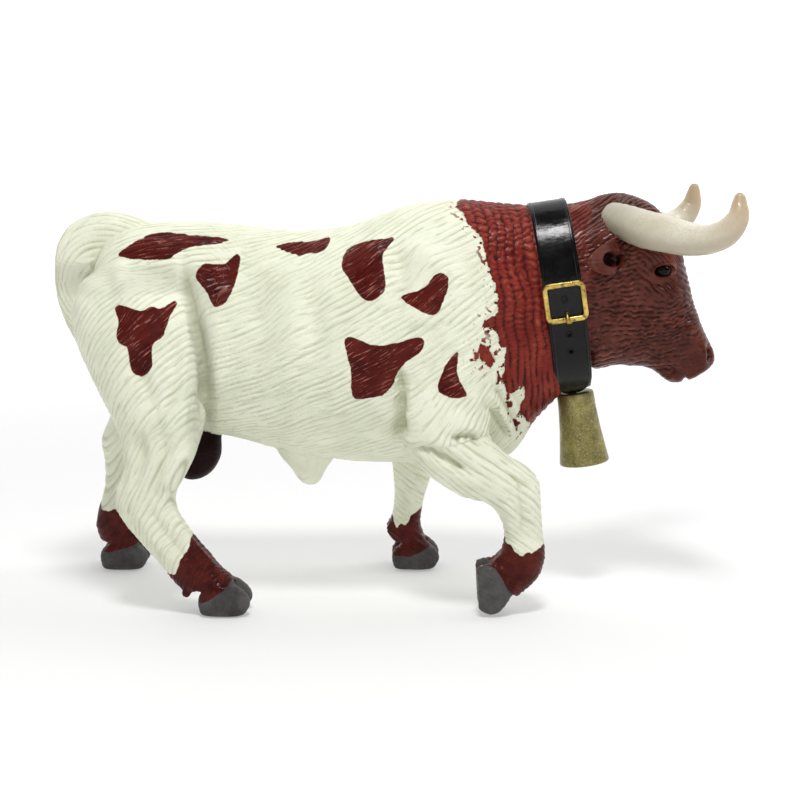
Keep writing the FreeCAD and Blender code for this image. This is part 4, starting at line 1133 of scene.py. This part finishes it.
for s, word in SIDES:
    ev, ef = ear_form()
    if s > 0:
        ev[:, 1] *= -1
        ef = ef[:, ::-1]
    ev, ef = remeshed([(ev, ef)], .30)
    ev = smooth(ev, neighbours(ef), 2)
    en = normals(ev, ef)
    eq = to_px(ev)
    cup_d = np.hypot((eq[:, 0] - 611) / 9.0, (eq[:, 1] - 259) / 8.0)
    facing = step(en[:, 1] * s, .05, .35)
    cup_form = -1.5 * step(1 - cup_d, -.05, .45) + .80 * bell_curve(cup_d, 1.3, .30)
    ev = ev + en * (facing * cup_form)[:, None]
    fur = hair(ev, ev[:, 1] * .8 + ev[:, 0] * .6, ev[:, 2], 4, 1.1, 1) * .6
    ev = ev + normals(ev, ef) * (fur * .12)[:, None]
    zero = np.zeros(len(ev))
    # Painted highlight: the ear's upper half is lighter.
    lit = .62 * step(262 - eq[:, 1], -10, 10) + .18
    # The ear's cup gets painted shade.
    piece("ear_skin_" + word, ev, ef, "ear_" + word, "brown_head", HEAD_PAINT,
          {"relief_light": fur * .5 + lit, "snout": zero + .4, "nape": zero - 9,
           "dark": facing * step(1 - cup_d, -.05, .40)}, normals(ev, ef))

# Strap: it follows the neck's ring in its leaning plane. AHEAD and UP lie in the strap's plane.
STRAP = strap_paint()
neck_top, neck_low = place(*COLLAR[:2]), place(*COLLAR[2:4])
middle = (neck_top + neck_low) / 2
HALF_H = np.linalg.norm(neck_top - neck_low) / 2
HALF_W = COLLAR[4] * BW / 2
up = (neck_top - neck_low) / np.linalg.norm(neck_top - neck_low)
UP = np.array([up[0], 0, up[1]])
AHEAD = np.array([up[1], 0, -up[0]])
ACROSS = np.array([0, 1.0, 0])
MID = np.array([middle[0], 0, middle[1]])


def band(inner, profile, a0=0.0, a1=2 * np.pi, n=220, widths=None):
    """A strap layer: profile is (across the strap, out) pairs swept round the neck."""
    closed = abs(a1 - a0 - 2 * np.pi) < 1e-6
    rows = []
    for i, a in enumerate(np.linspace(a0, a1, n, endpoint=not closed)):
        w = 1.0 if widths is None else widths[i]
        c, s = math.cos(a), math.sin(a)
        nrm = np.array([c / (HALF_H + inner), s / (HALF_W + inner)])
        nrm /= np.linalg.norm(nrm)
        base = MID + UP * (HALF_H + inner) * c + ACROSS * (HALF_W + inner) * s
        out = UP * nrm[0] + ACROSS * nrm[1]
        rows.append(np.array([base + AHEAD * px * w + out * ph for px, ph in profile]))
    bv, bf = loft(rows)
    return closed_loop(bv, bf, n, len(profile)) if closed else (bv, bf)


def strap_profile(w, h, lip=.12, edge=.55):
    """Cross-section of the strap with a raised line along each edge."""
    r = .16
    half = [(-w, .0), (-w, h - r), (-w + r * .4, h - r * .3), (-w + r, h),
            (-w + edge - .1, h + lip * .2), (-w + edge, h + lip), (-w + edge + .22, h + lip),
            (-w + edge + .36, h), (-w * .5, h - .02)]
    return half + [(0, h)] + [(-px, ph) for px, ph in half[::-1]]


def strap_y(height, grow=2.1):
    """Half width of the neck's ring, grown, at a height over its middle."""
    return (HALF_W + grow) * math.sqrt(max(1 - (height / (HALF_H + grow)) ** 2, 0))


def tongue_angle(height):
    return 2 * np.pi - math.acos(max(min(height / (HALF_H + 1.2), 1), -1))


# the tongue: from its round tip on the near side up to the buckle's top bar
a_top = tongue_angle(BUCKLE_UP + BUCKLE_HIGH / 2 - 1.2)
a_tip = tongue_angle(-(TONGUE_LONG - BUCKLE_UP) + .3)
TONGUE_N = 150
heights = (HALF_H + 1.2) * np.cos(np.linspace(a_tip, a_top, TONGUE_N))
from_tip = heights - heights.min()
widths = np.where(from_tip < STRAP_HALF,
                  np.sqrt(np.clip(1 - (1 - from_tip / STRAP_HALF) ** 2, 0.0005, 1)), 1.0)
strap = make_mesh("strap_work", *merge([
    band(.22, strap_profile(STRAP_HALF, STRAP_THICK)),
    band(TONGUE_IN, strap_profile(TONGUE_HALF, STRAP_THICK), a_tip, a_top, TONGUE_N, widths)]))


def apply_cuts(ob, cutters):
    cut = make_mesh("cutters", *merge(cutters))
    mod = ob.modifiers.new("cut", "BOOLEAN")
    mod.operation = "DIFFERENCE"
    mod.object = cut
    mod.solver = "EXACT"
    dg = bpy.context.evaluated_depsgraph_get()
    me = bpy.data.meshes.new_from_object(ob.evaluated_get(dg))
    ob.modifiers.clear()
    ob.data = me
    bpy.data.objects.remove(cut)


HOLE_TOP = BUCKLE_UP + HOLE_PITCH / 8
holes, rims = [], []
for k in (0, 2, 3):  # the prong fills the second hole
    up_k = HOLE_TOP - k * HOLE_PITCH
    yy = strap_y(up_k)
    inward = ACROSS - UP * (up_k * HALF_W ** 2 / (HALF_H ** 2 * yy))
    inward /= np.linalg.norm(inward)
    spot = MID + UP * up_k - ACROSS * yy
    holes.append(swept([spot + inward * .8, spot - inward * 1.2], (.52, .52)))
    along = np.cross(inward, AHEAD)
    rims.append(swept([spot - inward * .03 + (AHEAD * math.cos(w) + along * math.sin(w)) * .80
                       for w in np.linspace(0, 2 * np.pi, 33)], (.13,) * 33, 10))
apply_cuts(strap, holes)
strap.name = "strap"
for p in strap.data.polygons:
    p.use_smooth = True
strap.data.set_sharp_from_angle(angle=math.radians(38))
strap.data.materials.clear()
strap.data.materials.append(STRAP)
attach(strap, "root")
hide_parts("collar_strap")
piece("hole_rims", *merge(rims), "collar_strap", "black_strap", STRAP)

# Buckle
BRASS = brass_paint()


def rounded(w, h, r, n=9):
    """A rectangle with round corners, counter-clockwise."""
    out = []
    for cx, cy, a0 in ((w - r, h - r, 0), (-w + r, h - r, 90), (-w + r, -h + r, 180),
                       (w - r, -h + r, 270)):
        for a in np.linspace(a0, a0 + 90, n):
            c, s = cos_sin(a)
            out.append((cx + r * c, cy + r * s))
    return np.array(out)


buckle_mid = MID + UP * BUCKLE_UP
loop = rounded(BUCKLE_LONG / 2 - BUCKLE_BAR, BUCKLE_HIGH / 2 - BUCKLE_BAR, 1.15)
sections = []
for i, (across, high) in enumerate(loop):
    run = loop[(i + 1) % len(loop)] - loop[i - 1]
    run /= np.linalg.norm(run)
    outward = AHEAD * run[1] - UP * run[0]
    section = []
    for a in circle(16):
        c, s = math.cos(a), math.sin(a)
        dent = .04 * (noise(np.array([[i * .9, a * 2, 3.0]]), 1)[0] - .5)
        reach = .60 * np.sign(c) * abs(c) ** .55 + dent
        lift = strap_y(BUCKLE_UP) + .12 + .58 + .58 * np.sign(s) * abs(s) ** .55 + dent
        section.append(buckle_mid + AHEAD * across + UP * high + outward * reach - ACROSS * lift)
    sections.append(np.array(section))
piece("buckle", *closed_loop(*loft(sections), len(loop), 16), "buckle_frame", "brass_paint", BRASS)


def on_prong(down, out, ahead=0.0):
    return prong_root - UP * down - ACROSS * out + AHEAD * ahead


prong_up = HOLE_TOP - HOLE_PITCH
prong_root = MID + UP * (prong_up + 1.0) - ACROSS * (strap_y(prong_up) + .55)
prong = [swept([on_prong(0, 0), on_prong(.8, .5), on_prong(1.6, 1.1), on_prong(2.3, 1.3)],
               (.42, .55, .55, .35), 16),
         swept([on_prong(1.4, 1.0), on_prong(2.2, 1.2, .7)], (.4, .28), 12)]
piece("prong", *merge(prong), "buckle_prong", "brass_paint", BRASS)


# Bell
def bell_radius(d):
    rise = np.interp(d / BELL_LONG, (0, .25, .55, .80, 1.0), (0, .02, .28, .66, 1.0))
    return BELL_NECK_R + BELL_FLARE * rise


bell_top = np.array([neck_low[0], 0, neck_low[1]]) - UP * 1.2 + AHEAD * .8
profile = [(.9, 0.02), (.9, 2.0), (.9, 3.7), (1.1, 4.2), (1.7, bell_radius(1.7))]
profile += [(d, bell_radius(d)) for d in np.linspace(2.4, 17.4, 26)]
profile += [(17.8, bell_radius(17.8) + .02), (18.15, bell_radius(18.1) - .05), (BELL_LONG, 5.75),
            (BELL_LONG, 4.95), (18.1, 4.75), (16.6, 4.35), (15.4, 4.0), (15.3, 2.0), (15.3, .02)]
rings = []
for d, r in profile:
    a = circle(72)
    dented = r * (1 + .012 * np.sin(a * 2 + d * .2))
    rings.append(bell_top - UP * d + AHEAD * (dented * np.cos(a))[:, None]
                 + ACROSS * (dented * np.sin(a))[:, None])
bell = piece("bell_skin", *loft(rings), "bell", "bell_bronze", bell_paint())
bell.data.set_sharp_from_angle(angle=math.radians(40))

# Stage, in metres: a floor that curves up into a wall behind, and low walls far away
FAR, FLOOR_Z, WALL_Y, BEND, WALL_TOP, LOW_WALL = 6.0, -.0002, 1.0, .8, 7.0, 1.2
sweep = [(-FAR, FLOOR_Z), (WALL_Y, FLOOR_Z)]
for k in range(1, 13):
    a = math.pi / 2 * k / 12
    sweep.append((WALL_Y + BEND * math.sin(a), FLOOR_Z + BEND * (1 - math.cos(a))))
sweep.append((WALL_Y + BEND, WALL_TOP))
corners = [(-FAR, WALL_Y + BEND), (-FAR, -FAR), (FAR, -FAR), (FAR, WALL_Y + BEND)]


def strip(pairs):
    """Faces between each two of so many pairs of points."""
    k = np.arange(pairs - 1) * 2
    return np.stack([k, k + 1, k + 3, k + 2], 1)


floor_v = [(sx, y, h) for y, h in sweep for sx in (-FAR, FAR)]
wall_v = [(wx, wy, wz) for wx, wy in corners for wz in (FLOOR_Z, LOW_WALL)]
floor = make_mesh("floor", np.array(floor_v + wall_v) / MM,
                  np.vstack([strip(len(sweep)), len(floor_v) + strip(len(corners))]))
floor.data.materials.append(floor_paint())

world = bpy.data.worlds.new("studio")
scene.world = world
world.use_nodes = True
world.node_tree.nodes["Background"].inputs["Color"].default_value = (1, 1, 1, 1)
world.node_tree.nodes["Background"].inputs["Strength"].default_value = .16


def area(name, loc, size, power, aim=(0, 0, .05)):
    li = bpy.data.lights.new(name, "AREA")
    li.energy = power
    li.size = size
    ob = bpy.data.objects.new(name, li)
    ob.location = loc
    ob.rotation_euler = (Vector(aim) - Vector(loc)).to_track_quat("-Z", "Y").to_euler()
    scene.collection.objects.link(ob)


area("key", (.01, -.27, .62), .13, 2.45)
area("rim", (.42, .10, .50), .22, .9)
area("fill", (.30, -.65, .28), .30, .30)

cam = bpy.data.cameras.new("camera")
cam.lens = 75.0
cam.sensor_width = 36.0
cam.clip_start, cam.clip_end = .01, 20
camera = bpy.data.objects.new("camera", cam)
camera.location = (AIM[0] * MM, -DIST * CE * MM, (AIM[2] + DIST * SE) * MM)
camera.rotation_euler = (math.radians(90) - ELEV, 0, 0)
scene.collection.objects.link(camera)
scene.camera = camera
scene.view_settings.view_transform = "Standard"
